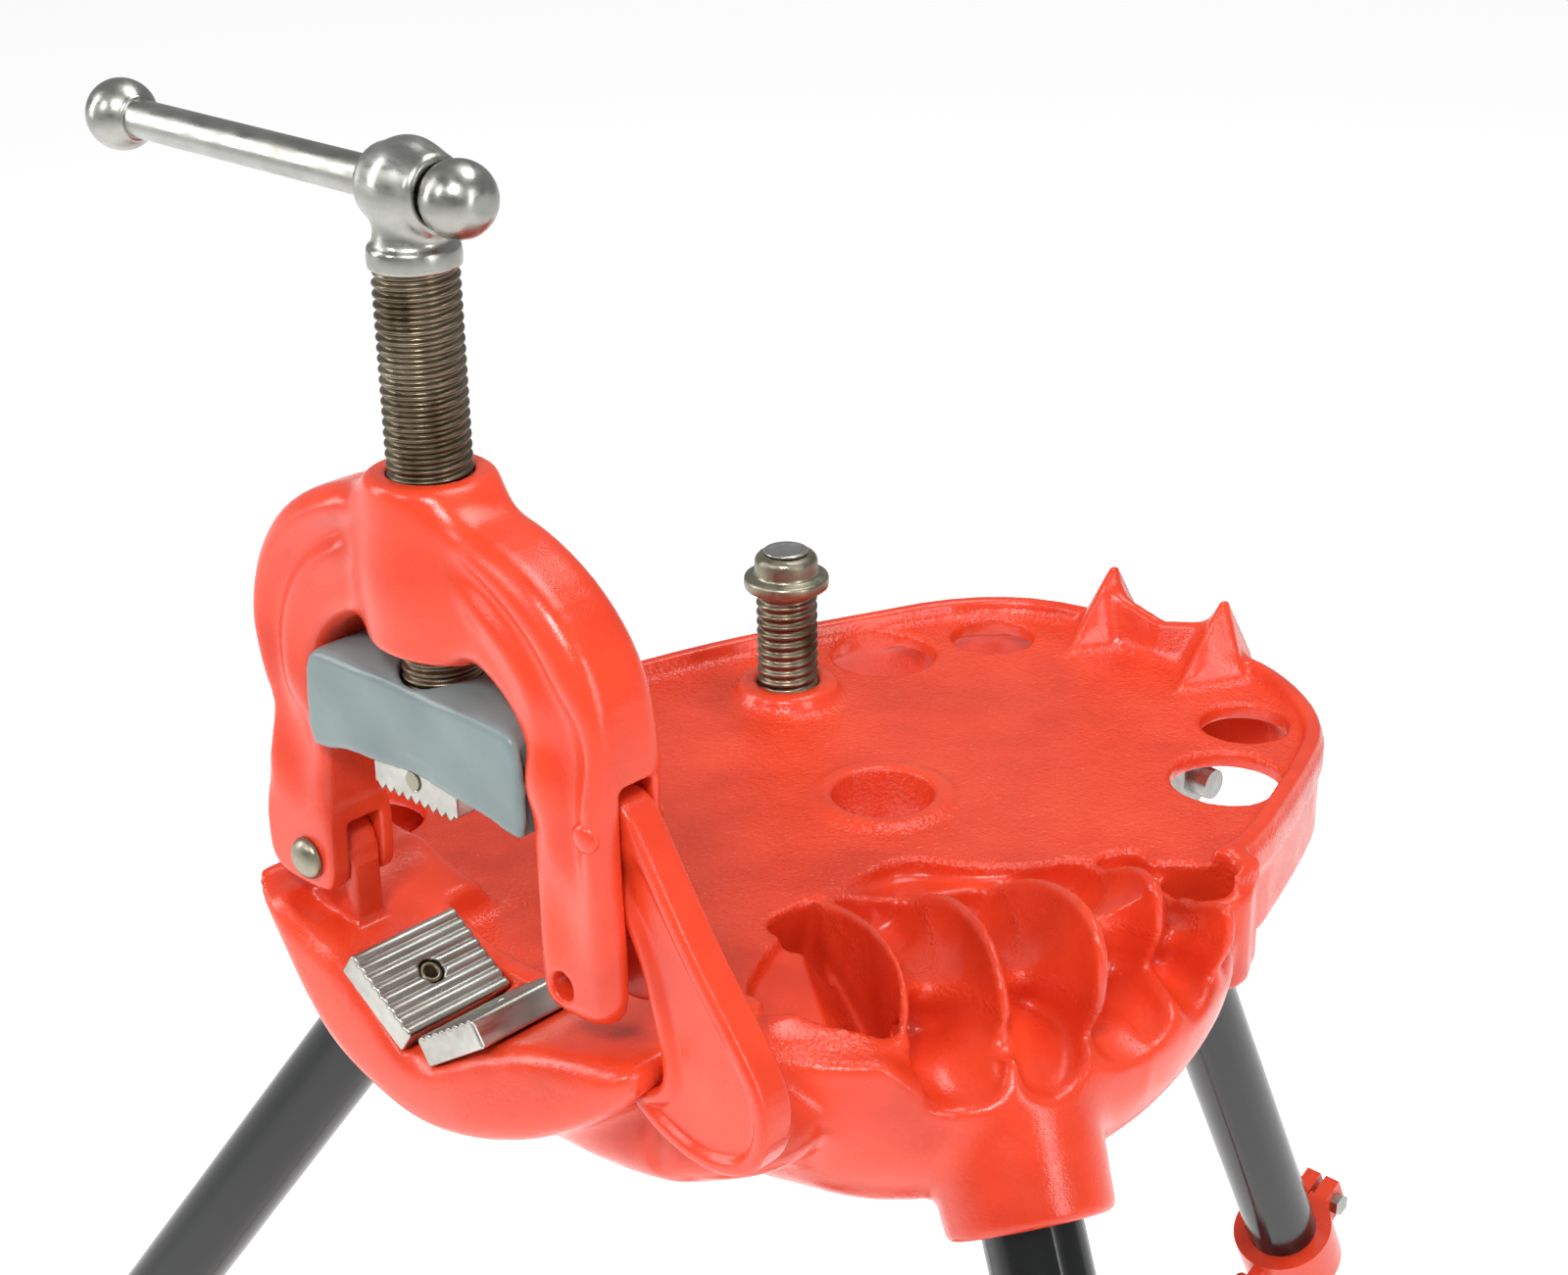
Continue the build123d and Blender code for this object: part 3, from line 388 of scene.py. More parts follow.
def steel(name, colour, rough, streak=(1, 1, 1), stain=None, bumpy=0.15, scale=300.0):
    # turned or milled steel: fine streaks in roughness and height, and a darker stain tone blended in by broad
    # noise
    material, tree, shader, place = newFinish(name, colour, 1.0, rough)
    fine = noise(tree, place, scale, 4.0, streak)
    broad = noise(tree, place, 38.0, 4.0)
    low = tuple(0.72 * c for c in colour)
    base = stain or low
    tint = ramp(tree, broad, [(0.34, base), (0.6, colour)])
    tree.links.new(tint, shader.inputs["Base Color"])
    tree.links.new(spread(tree, fine, max(rough - 0.10, 0.05), rough + 0.14), shader.inputs["Roughness"])
    addBump(tree, shader, [(fine, bumpy)], 0.0003)
    return material


def enamel(name, colour, rough, orange=0.12, scale=220.0):
    # plain enamel with a slight orange peel
    material, tree, shader, place = newFinish(name, colour, 0.0, rough)
    peel = noise(tree, place, scale, 2.0)
    cloud = noise(tree, place, 22.0, 3.0)
    deep = tuple(0.78 * c for c in colour)
    tree.links.new(ramp(tree, cloud, [(0.35, deep), (0.62, colour)]), shader.inputs["Base Color"])
    tree.links.new(spread(tree, cloud, rough - 0.04, rough + 0.08), shader.inputs["Roughness"])
    addBump(tree, shader, [(peel, orange)], 0.0005)
    return material


finishes = {
    "red": redEnamel(),
    "grey": enamel("greyEnamel", (0.19, 0.245, 0.245), 0.30, 0.25),
    "black": enamel("blackEnamel", (0.006, 0.007, 0.007), 0.13, 0.04),
    "rubber": enamel("rubberTip", (0.018, 0.018, 0.018), 0.68, 0.4, 700.0),
    "handle": steel("handleSteel", (0.40, 0.40, 0.375), 0.30, (0.3, 1, 1), (0.30, 0.30, 0.27)),
    "thread": steel("oiledThread", (0.25, 0.21, 0.155), 0.34, (1, 1, 0.2), (0.10, 0.075, 0.045)),
    "jaw": steel("jawSteel", (0.50, 0.49, 0.45), 0.34, (1, 0.15, 1), (0.36, 0.35, 0.31), 0.2),
    "rivet": steel("rivetSteel", (0.33, 0.31, 0.235), 0.36, (1, 1, 1), (0.22, 0.20, 0.15)),
    "zinc": steel("zincPlate", (0.44, 0.44, 0.42), 0.35, (1, 1, 1), (0.33, 0.33, 0.31)),
}
print("finishes", len(finishes))


# deck with its bow, bender, pipe rest and sockets, cast in one
deckCast = dict(step=1.5, rimWidth=6.5, thick=7.0, skirt=36.0)
deckOutline = [
    (-92, 22), (-120, 25), (-147, 38), (-163, 66), (-162, 130), (-150, 190), (-134, 251),
    (-112, 300), (-90, 350), (-52, 376), (32, 379), (62, 369), (92, 346),
    (106, 315), (131, 237), (114, 213), (118, 150), (104, 82), (82, 42), (60, 22),
]
tripod = dict(centreY=180.0, drop=30.0, front=(136.0, 35.4), rear=(154.0, 26.1), azimuth=27.5)


def legPlaces():
    # pivot, direction down the leg, and the bolt's direction for each leg
    out = {}
    for name, azimuth, (radius, lean) in (
        ("front_right", -tripod["azimuth"], tripod["front"]),
        ("front_left", 180 + tripod["azimuth"], tripod["front"]),
        ("rear", 90.0, tripod["rear"]),
    ):
        a, b = math.radians(azimuth), math.radians(lean)
        outward = np.array([math.cos(a), math.sin(a), 0])
        pivot = np.array([0, tripod["centreY"], -tripod["drop"]]) + radius * outward
        down = math.sin(b) * outward - math.cos(b) * np.array([0, 0, 1.0])
        bolt = np.array([-math.sin(a), math.cos(a), 0])
        out[name] = (pivot, down, bolt, outward)
    return out


legs = legPlaces()


def cone(p, a, b, ra, rb, k):
    # cut-off cone from a to b with flat ends, its rims rounded by k
    a, b = np.array(a, float), np.array(b, float)
    d = b - a
    long = float(np.linalg.norm(d))
    d = d / long
    t = sum((p[i] - a[i]) * d[i] for i in range(3))
    away = np.sqrt(np.maximum(sum((p[i] - a[i]) ** 2 for i in range(3)) - t * t, 0))
    radius = ra + (rb - ra) * np.clip(t / long, 0, 1)
    return meet(away - radius, np.maximum(-t, t - long), k)


def bowField(p):
    # cast bow under the jaws: its lower outline in x and z, and how far it comes forward
    x, y, z = p
    profile = [(-94, 24), (-84, 19), (-74, 21), (-60, 15), (-40, 12), (-22, 4), (-6, -6), (6, -6),
               (22, 4), (44, 14), (62, 18), (76, 20), (88, 22), (90, 16), (84, 6), (74, -2),
               (62, -10), (46, -19), (24, -28), (0, -33), (-24, -29), (-44, -22), (-62, -9),
               (-76, 4), (-86, 14)]
    flat = outlineField(x, z, curved(profile, 2))
    # the hull swells towards its middle: front face from y -14 at the horns to -25 low in the middle
    reach = np.clip(1 - (x / 96.0) ** 2, 0, 1)
    low = smoothStep(-z, -22, 20)
    front = -15.0 - 10.0 * np.sqrt(reach) * (0.55 + 0.45 * low)
    back = 46.0
    depth = np.maximum(front - y, y - back)
    return meet(flat, depth, 9.0)


# bender: each fin's outline in its own plane, (outwards, up), with its place along the stack
benderCast = dict(
    fins=[
        (-36, [(20, -4), (60, -1), (78, 6), (98, 13), (118, 17.5), (134, 17), (143, 11), (145, 3),
               (141, -8), (134, -20), (128, -34), (112, -52), (84, -62), (20, -58)]),
        (-5, [(20, -8), (58, -8), (80, 7), (98, 15.5), (116, 20), (132, 20.5), (143, 15.5), (150, 7),
              (152.5, -2), (149, -16), (140, -32), (122, -50), (90, -62), (20, -58)]),
        (24, [(20, -8), (60, -8), (82, 8), (102, 19), (122, 27), (140, 31), (153, 29), (160, 20), (160, 8),
              (154, -10), (142, -28), (124, -46), (88, -60), (20, -56)]),
        (60, [(20, -8), (62, -8), (78, 4), (96, 15), (110, 20), (120, 18), (123, 8), (121, -4), (116, -16),
              (108, -28), (98, -40), (76, -54), (20, -52)]),
        (80, [(20, -8), (70, -8), (96, -4), (110, 4), (124, 12), (132, 13), (134, 4), (130, -10),
              (118, -24), (100, -36), (76, -46), (20, -44)]),
    ],
    depth=[19, 22, 15, 9], crest=[1.8, 2.0, 2.0, 1.6], grooveLow=-21.0, lean=0.2,
    bowlMiddle=(92.0, 122.0), bowlLow=-78.0, bowlTop=-1.5,
    bowl=[(20, 30), (50, 33), (81, 43), (94, 47.5), (105, 53.5), (119, 66), (132, 82), (145, 104),
          (154, 132), (158, 162), (154, 190), (145, 216), (128, 231), (90, 228), (40, 170)],
)


def bowlField(x, y, z, s):
    # the outline shrinks towards the bottom as sqrt(1 - t^3), t being the share of the depth
    b = benderCast
    cx, cy = b["bowlMiddle"]
    t = np.clip(z / b["bowlLow"], 0, 0.985)
    share = np.sqrt(1 - t ** 3)
    side = outlineField(cx + (x - cx) / share, cy + (y - cy) / share, curved(b["bowl"], 2)) * share
    crisp = smoothStep(s, -52, -30)
    top = z - b["bowlTop"] + 11.0 * crisp
    bowl = meet(side, top, 4.0) * (1 - crisp) + meet(side, top, 12.0) * crisp
    return np.maximum(bowl, b["bowlLow"] - z)


def benderFins(p, body, bowl):
    # the outline runs smoothly from fin to fin; between two fins a groove is cut whose section
    # is an ellipse across the stack, so that its floor follows the outline
    x, y, z = p
    b = benderCast
    s = x * 0.5 + (y - 190) * 0.866 + b["lean"] * np.clip(-z, 0, 60)
    n = x * 0.866 - (y - 190) * 0.5
    outlines = [outlineField(n, z, curved(points, 2)) for place, points in b["fins"]]
    places = [place for place, points in b["fins"]]
    hull = outlines[0] + 0 * s
    for i in range(len(places) - 1):
        u = smoothStep(s, places[i], places[i + 1])
        hull = hull + (outlines[i + 1] - outlines[i]) * u
    stack = meet(hull, np.maximum(places[0] - 2.6 - s, s - places[-1] - 2.0), 2.5)
    body = join(body, stack, 5)
    skin = join(hull, bowl, 4)
    for i in range(len(places) - 1):
        mid = (places[i] + places[i + 1]) / 2
        wide = (places[i + 1] - places[i]) / 2 - b["crest"][i]
        across = (s - mid) / wide
        down = np.maximum(-skin, 0) / b["depth"][i]
        groove = (np.sqrt(across ** 2 + down ** 2) - 1) * min(wide, b["depth"][i]) * 0.8
        groove = meet(groove, -(n - 62), 6)
        groove = meet(groove, b["grooveLow"] - z, 12)
        body = cut(body, groove, 2.4)
    return body


# deck side of the bender: where the deck's edge ends and the hollows behind the fins begin
lipLine = [(31, 100), (31, 118), (34.5, 132), (33, 150), (36, 169), (56, 177), (68, 188), (78, 195),
           (94, 199), (100, 219), (113, 230), (128, 236), (134, 226), (120, 208), (104, 182), (88, 168),
           (70, 152), (62, 130), (58, 112), (46, 98)]


pocketLine = [(58, 64), (72, 56), (84, 60), (95, 68), (107, 80), (104, 89), (86, 98), (67, 108), (50, 116),
              (38, 116), (42, 96)]


def benderField(p, body):
    x, y, z = p
    s = x * 0.5 + (y - 190) * 0.866
    bowl = bowlField(x, y, z, s)
    body = join(body, bowl, 6)
    # wall and floor round the hollow behind the fins and round the pocket in front of them
    for line in (lipLine, pocketLine):
        tray = outlineField(x, y, curved(line, 2)) - 6
        body = join(body, meet(tray, np.abs(z + 20.5) - 17.5, 2), 4)
    # hollow behind the fins, below the deck's edge
    beyond = outlineField(x, y, curved(lipLine, 2))
    body = cut(body, meet(beyond, -(z + 27), 7), 2.5)
    return benderFins(p, body, bowl)


def baseField(p):
    x, y, z = p
    d = deckCast
    deck = outlineField(x, y, curved(deckOutline, 2))
    plate = meet(deck, np.abs(z + d["thick"] / 2) - d["thick"] / 2, 1.5)
    ring = np.abs(deck + d["rimWidth"] / 2) - d["rimWidth"] / 2
    # the rim fades out along the front, where the bow and the bender take over
    ahead = smoothStep(y, 30, 60) * (1 - smoothStep(x, 80, 105) * (1 - smoothStep(y, 205, 235)))
    rimTop = -3.0 + 10.0 * ahead
    rim = meet(ring, np.maximum(z - rimTop, -(z + d["skirt"])), 3.0)
    body = join(plate, rim, 5.5)
    body = np.maximum(body, -(z + d["skirt"]))
    # skirt is deeper and straight at the right corner
    body = join(body, slab(p, (120, 226, -36), (134, 243, 5), 3.0), 3)
    # leg sockets with bosses for the bolts
    for pivot, down, bolt, outward in legs.values():
        socket = cone(p, pivot - 6 * down, pivot + 47 * down, 30.5, 27.5, 3.5)
        socket = meet(socket, z + 3.0, 1.0)
        body = join(body, socket, 9)
        boss = cone(p, pivot - 31 * bolt, pivot + 31 * bolt, 13.5, 13.5, 1.5)
        body = join(body, boss, 4)
    bow = bowField(p)
    web = meet(slab(p, (-70, 20, -30), (72, 48, 1), 6), np.abs(x) - 72, 4)
    body = join(join(body, web, 8), bow, 8)
    # round front hull below, from the bow back to the bender bowl
    body = join(body, egg(p, (40, 44, -22), (66, 44, 26)), 14)
    # brace boss and the ring of the centre hole
    brace = cone(p, (*studAt, -22), (*studAt, 7.5), 23.5, 19.5, 3.0)
    body = join(body, brace, 6)
    body = join(body, post(p, (0, 197), 25, -30, 1.9, 1.4), 5)
    # pipe rest: two pyramids joined by a low ridge
    for side in (-1, 1):
        cx, cy = side * 27.1, 370.2
        tip = 30.5 - z
        face = np.abs(x - cx) * 0.86 + np.abs(y - cy + 0.16 * tip) * 0.5 - tip * 0.40 - 0.9
        spike = meet(face * 0.8, z - 30.0, 1.2)
        spike = np.maximum(spike, -(z + 4))
        body = join(body, spike, 3.0)
    ridgeTop = 14.0 + 0.26 * np.abs(x)
    ridge = np.maximum((np.abs(y - 367.0) - 2.0 - (ridgeTop - z) * 0.30) * 0.9, np.abs(x) - 27)
    ridge = meet(ridge, z - ridgeTop, 1.5)
    body = join(body, np.maximum(ridge, -(z + 4)), 4)
    # the bender takes the right front of the grid only
    i0 = int(np.searchsorted(x[:, 0, 0], 8))
    j0 = int(np.searchsorted(y[0, :, 0], 10))
    j1 = int(np.searchsorted(y[0, :, 0], 262))
    part = (x[i0:], y[:, j0:j1], z)
    body[i0:, j0:j1] = benderField(part, body[i0:, j0:j1])
    # lug for the yoke's hinge
    lug = np.sqrt((x - hingeAt[0]) ** 2 + (z - hingeAt[1]) ** 2) - 10
    lug = join(lug, slab(p, (-70, -4.7, 8), (-49, 7.7, 36), 1), 2)
    lug = meet(lug, np.abs(y - 1.5) - 6.2, 1.2)
    body = join(body, lug, 2.5)
    return body


def baseCuts(p, body):
    x, y, z = p
    # hollow for the jaws, with a low wall behind them
    a = math.radians(34)
    for side in (-1, 1):
        u = side * x * math.cos(a) + z * math.sin(a)
        w = -side * x * math.sin(a) + z * math.cos(a)
        seat = meet(np.abs(u - 18.2) - 17.4, np.abs(y + 2) - 21.6, 0.8)
        seat = meet(seat, -(w + 10.4), 0.8)
        body = cut(body, seat, 1.0)
    behind = slab(p, (-44, 28, -1), (46, 60, 30), 5)
    body = cut(body, behind, 3)
    # pocket in front of the first fin: its floor falls 1.4 mm for each mm behind the line
    # that runs from the deck to the front wall
    behindLine = 0.603 * (x - 33.7) + 0.797 * (y - 112.5)
    floorZ = np.clip(-4.0 - 1.4 * np.maximum(behindLine, 0), -29, -4)
    trough = meet(outlineField(x, y, curved(pocketLine, 2)), floorZ - z, 5)
    body = cut(body, trough, 1.6)
    # tool holes with rounded lips
    holes = [((0, 197), 18.75), ((84.3, 292.8), 21), ((-84.3, 292.8), 21), ((62.4, 335.5), 16.75),
             ((-62.4, 335.5), 16.75), ((-130, 62), 21)]
    for at, r in holes:
        away = np.sqrt((x - at[0]) ** 2 + (y - at[1]) ** 2) - r
        body = cut(body, np.maximum(away, -(z + 60)), 1.6)
    stud = np.sqrt((x - studAt[0]) ** 2 + (y - studAt[1]) ** 2) - 12.05
    body = np.maximum(body, -stud)
    # room for the legs, from spread to hanging down, and for the bolts
    for name, (pivot, down, bolt, outward) in legs.items():
        across = sum((p[i] - pivot[i]) * bolt[i] for i in range(3))
        r = sum((p[i] - pivot[i]) * outward[i] for i in range(3))
        h = z - pivot[2]
        lean = math.atan2(down @ outward, -down[2])
        turn = np.clip(np.arctan2(r, -h), 0, lean)
        along = np.maximum(r * np.sin(turn) - h * np.cos(turn), 0)
        away = np.sqrt((r - along * np.sin(turn)) ** 2 + (h + along * np.cos(turn)) ** 2 + across ** 2)
        sweep = np.maximum(away - 17.3, np.abs(across) - 17.3)
        if name == "front_right":
            # the bender's floor keeps a wall over the leg's head and its bolt
            cover = meet(sweep - 4.5, -(z + 46), 3)
            cover = join(cover, cone(p, pivot - 42 * bolt, pivot + 43 * bolt, 12.5, 12.5, 3), 5)
            body = join(body, cover, 7)
        body = np.maximum(body, -sweep)
        body = np.maximum(body, -(cone(p, pivot - 30 * bolt, pivot + 30 * bolt, 6, 6, 0.5)))
    # slots that the yoke's legs and the hook come down into
    for low, high in ((-14.5, -5.0), (8.0, 14.5)):
        for x0, x1 in ((-96, -47), (47, 86)):
            room = slab(p, (x0 if x0 > 0 else -84, low, 26.2), (x1, high, 90), 1)
            body = np.maximum(body, -room)
        scoop = np.sqrt((x - hingeAt[0]) ** 2 + (z - hingeAt[1]) ** 2) - 23.4
        body = np.maximum(body, -meet(scoop, np.maximum(low - y, y - high), 1))
    lip = slab(p, (73, -6.6, -32), (150, 9.6, 9.3), 1)
    body = cut(body, lip, 1)
    body = np.maximum(body, -(np.sqrt((x - hingeAt[0]) ** 2 + (z - hingeAt[1]) ** 2) - 4.55))
    return body


def castBase():
    low, high = (-172, -36, -84), (176, 390, 54)
    p = openGrid(low, high, deckCast["step"])
    field = baseCuts(p, baseField(p)).astype(np.float32)
    verts, faces = netSurface(field, low, deckCast["step"])
    piece = putPiece("deckCasting", verts, faces, "base", finishes["red"], ("base_casting",))
    thin(piece, 195000)
    # sand grain is strongest on the deck's flat top
    mesh = piece.data
    co = np.zeros(len(mesh.vertices) * 3, np.float32)
    mesh.vertices.foreach_get("co", co)
    local = (co.reshape(-1, 3) - home) * 1000
    onTop = np.exp(-((local[:, 2]) / 2.5) ** 2) * (local[:, 1] > 20)
    grain = mesh.attributes.new("sand", "FLOAT", "POINT")
    grain.data.foreach_set("value", (0.12 + 0.88 * onTop).astype(np.float32))
    print("deck casting", len(mesh.polygons))


castBase()


# lower jaws: toothed plates that lean into a V
lowerJaw = dict(slope=34.0, land=1.5, width=33.0, thick=10.0, front=-23.0, length=42.0, ridges=8,
                pin=4.0, step=0.5)


def lowerJawPiece(side, name):
    j = lowerJaw
    low = (-2, j["front"] - 3, -14)
    high = (38, j["front"] + j["length"] + 3, 3)
    p = openGrid(low, high, j["step"])
    u, y, w = p
    # the top carries rounded ridges front to rear
    pitch = j["width"] / j["ridges"]
    wave = np.abs(np.sin((u - j["land"]) / pitch * math.pi)) ** 0.7
    top = -1.4 + 1.4 * wave
    f = slab(p, (j["land"], j["front"], -j["thick"]),
             (j["land"] + j["width"], j["front"] + j["length"], 5), 0.6)
    f = meet(f, w - top, 0.25)
    middle = j["land"] + j["width"] / 2
    hole = np.sqrt((u - middle) ** 2 + (y - j["front"] - j["length"] / 2) ** 2)
    f = cut(f, np.maximum(hole - j["pin"] - 0.35, -(w + 9)), 0.3)
    verts, faces = netSurface(np.ascontiguousarray(f + 0 * w, np.float32), low, j["step"])
    a = math.radians(j["slope"])
    v = verts.copy()
    v[:, 0] = side * (verts[:, 0] * math.cos(a) - verts[:, 2] * math.sin(a))
    v[:, 2] = verts[:, 0] * math.sin(a) + verts[:, 2] * math.cos(a)
    if side < 0:
        faces = faces[:, ::-1]
    piece = putPiece(name, v, faces, "base", finishes["jaw"],
                     ("lower_jaw_left",) if side < 0 else ("lower_jaw_right",))
    return thin(piece, 60000)


lowerJawPiece(-1, "lowerJawLeft")
lowerJawPiece(1, "lowerJawRight")
print("lower jaws")


# yoke: an arch with ears for the hinge and the hook
yokeCast = dict(step=1.0, halfDepth=13.0)


def yokeField(p):
    x, y, z = p
    c = yokeCast
    outer = [(-82, 36), (-81.5, 58), (-81, 68), (-77, 78), (-74, 90), (-77, 104), (-80.5, 120),
             (-76, 140), (-64, 157), (-45, 169), (-22, 175), (0, 177), (22, 175), (45, 169), (64, 157),
             (77, 140), (81.5, 118), (80.5, 96), (81, 70), (82, 45), (80, 33), (72, 27.5), (54, 27.5),
             (49.5, 32), (48, 40), (48, 106), (45, 119), (34, 129), (18, 134), (0, 134.5), (-18, 134),
             (-34, 129), (-45, 119), (-48, 106), (-48, 40), (-49.5, 31), (-53, 27.5), (-72, 27.5),
             (-79, 30)]
    flat = outlineField(x, z, curved(outer, 2))
    body = meet(flat, np.abs(y) - c["halfDepth"], 8.0)
    # ears keep flat machined faces at the hinge
    face = np.abs(y) - c["halfDepth"]
    ears = meet(flat, face, 1.5)
    low = smoothStep(-z, -66, -46)
    left = smoothStep(-x, 40, 46)
    body = body + (ears - body) * low * left
    # two raised ridges follow the arch on both faces, with a valley between them
    inArch = np.sqrt((x / 81.0) ** 2 + (np.maximum(z - 110, 0) / 66.0) ** 2)
    band = np.clip((inArch - 0.62) / 0.38, 0, 1.2)
    ridge = 1.7 * bump(band - 0.30, 0.17) + 1.3 * bump(band - 0.82, 0.15) - 1.6 * bump(band - 0.56, 0.14)
    nearBoss = smoothStep(np.abs(x), 18, 34)
    along = smoothStep(z, 62, 90) * nearBoss
    body = body - ridge * along * smoothStep(np.abs(y), 4, 12)
    # scoop above the left ear, with a rounded shoulder
    for sy in (-1, 1):
        hollow = egg(p, (-63, sy * 16.5, 80), (11, 7, 17))
        body = cut(body, hollow, 5)
        # lump on the inner edge at the right spring line and dishes down the right leg
        dish = egg(p, (66, sy * 17.5, 118), (10, 7, 14))
        body = cut(body, dish, 5)
        dish = egg(p, (62, sy * 17.0, 62), (9, 5.5, 15))
        body = cut(body, dish, 4)
        body = join(body, egg(p, (56, sy * 11.0, 103), (6, 4.5, 9)), 4)
    # boss around the screw, running down the front as a rounded column
    boss = cone(p, (0, 0, 130), (0, 0, 180), 19.5, 17.8, 3.5)
    body = join(body, boss, 14)
    body = join(body, egg(p, (0, 0, 150), (21, 17.5, 19)), 9)
    collar = cone(p, (0, 0, 170), (0, 0, 181.0), 17.6, 17.2, 2.2)
    body = join(body, collar, 3)
    return body


def yokeCuts(p, body):
    x, y, z = p
    window = slab(p, (-47.9, -40, 60), (47.9, 40, 112), 1)
    body = cut(body, window, 3.0)
    body = cut(body, slab(p, (-47.9, -40, 10), (47.9, 40, 70), 1), 1.0)
    screwWay = np.sqrt(x ** 2 + y ** 2) - 12.9
    body = cut(body, screwWay, 0.8)
    lugSlot = slab(p, (-96, -5, 0), (-40, 8, 51.5), 1)
    body = cut(body, lugSlot, 1.2)
    hookSlot = slab(p, (60, -5, 0), (100, 8, 107), 2)
    body = cut(body, hookSlot, 1.2)
    for cx in (-60, 60):
        body = cut(body, np.sqrt((x - cx) ** 2 + (z - 38.5) ** 2) - 4.6, 0.7)
    return body


def castYoke():
    low, high = (-90, -26, 22), (92, 26, 186)
    p = openGrid(low, high, yokeCast["step"])
    castPiece("yokeCasting", yokeCuts(p, yokeField(p)), low, yokeCast["step"], "yoke", finishes["red"],
              ("yoke",), 150000)


castYoke()


# latch hook
hookCast = dict(step=0.9)


def castHook():
    low, high = (60, -9, -14), (148, 12, 110)
    p = openGrid(low, high, hookCast["step"])
    x, y, z = p
    outline = [(67, 101), (74, 103.6), (81, 101.5), (87, 93), (95, 80), (108, 60), (124, 40), (134, 25),
               (134, 9), (126, -3), (109, -8), (93, -5), (80, 2), (76.5, 8), (84, 9.5), (90, 12.5),
               (92.5, 18), (91, 28), (88, 40), (84, 54), (76, 68), (68, 80), (63.6, 92)]
    flat = outlineField(x, z, curved(outline, 2))
    f = meet(flat, np.abs(y - 1.5) - 6.2, 2.2)
    # both faces are recessed inside a raised rim
    inside = smoothStep(-flat, 3.4, 7.0) * smoothStep(-z, -90, -78)
    f = f + 2.3 * inside
    f = cut(f, np.sqrt((x - hookPinAt[0]) ** 2 + (z - hookPinAt[1]) ** 2) - 5.05, 0.6)
    castPiece("hookCasting", f + 0 * y, low, hookCast["step"], "hook", finishes["red"],
              ("latch_hook",), 60000)


castHook()


# painted pin that the hook hangs from
turnedPiece("hookPinPaint", [(0.5, -15.2), (3.0, -15.0), (4.6, -14.0), (5.0, -12.6), (5.0, 13.0),
                             (4.0, 14.0), (0.5, 14.2)],
            (hookPinAt[0], 0, hookPinAt[1]), (0, 1, 0), "yoke", finishes["red"],
            ("hook_pin",), 32)


# jaw holder and the comb of the upper jaw
holderCast = dict(step=0.8, reach=16.0)


def castHolder():
    low, high = (-54, -20, 78), (54, 20, 125)
    p = openGrid(low, high, holderCast["step"])
    x, y, z = p
    outline = [(-50, 84), (-50, 108), (-46, 117), (-38, 118.5), (-14, 120.5), (0, 121), (14, 120.5),
               (38, 118.5), (46, 117), (50, 108), (50, 84), (42, 83.6), (34, 86), (22, 88), (0, 88.6),
               (-22, 88), (-34, 86), (-42, 83.6)]
    flat = outlineField(x, z, curved(outline, 1))
    # faces stand proud of the yoke outside its window and slide between its legs
    f = meet(flat, np.abs(y) - holderCast["reach"], 2.6)
    # sloping top towards the screw hole
    slope = z - 121.5 + 0.22 * np.maximum(np.abs(y) - 6, 0) * 2
    f = meet(f, slope, 2)
    # the yoke's legs slide in grooves at both ends
    for side in (-1, 1):
        groove = slab(p, (47.7 if side > 0 else -60, -13.3, 70), (60 if side > 0 else -47.7, 13.3, 130),
                      0.5)
        f = np.maximum(f, -groove)
    f = f - 0.35 * np.sin(x / 6.3 + 1.3) * np.sin(z / 5.1) * smoothStep(np.abs(y), 13, 15.5)
    f = cut(f, np.maximum(np.sqrt(x ** 2 + y ** 2) - 13.4, 104 - z), 1.5)
    f = np.maximum(f, -slab(p, (-19, -15, 60), (19, 15, 96), 0.3))
    castPiece("jawHolder", f, low, holderCast["step"], "jaw_carrier", finishes["grey"],
              ("upper_jaw_holder",), 90000)


def castUpperJaw():
    low, high = (-21, -17, 76), (21, 17, 98)
    p = openGrid(low, high, 0.5)
    x, y, z = p
    pitch = 4.0
    comb = 78.5 + 2.6 * (1 - np.abs(((x + 40) / pitch) % 1 - 0.5) * 2)
    f = slab(p, (-19, -15, 78.3), (19, 15, 96), 0.7)
    f = meet(f, comb - z, 0.3)
    f = cut(f, np.sqrt(x ** 2 + (z - 87) ** 2) - 3.05, 0.2)
    castPiece("upperJawComb", f, low, 0.5, "jaw_carrier", finishes["jaw"],
              ("upper_jaw",), 60000)


castHolder()
castUpperJaw()


# screws: the radius follows the helix, r = major - depth * shape(z / pitch - angle / turn)
viseScrew = dict(major=12.7, depth=1.35, pitch=3.175, bottom=103.0, top=243.6)
braceScrew = dict(major=11.95, depth=1.25, pitch=4.0, bottom=-71.5, top=46.3)


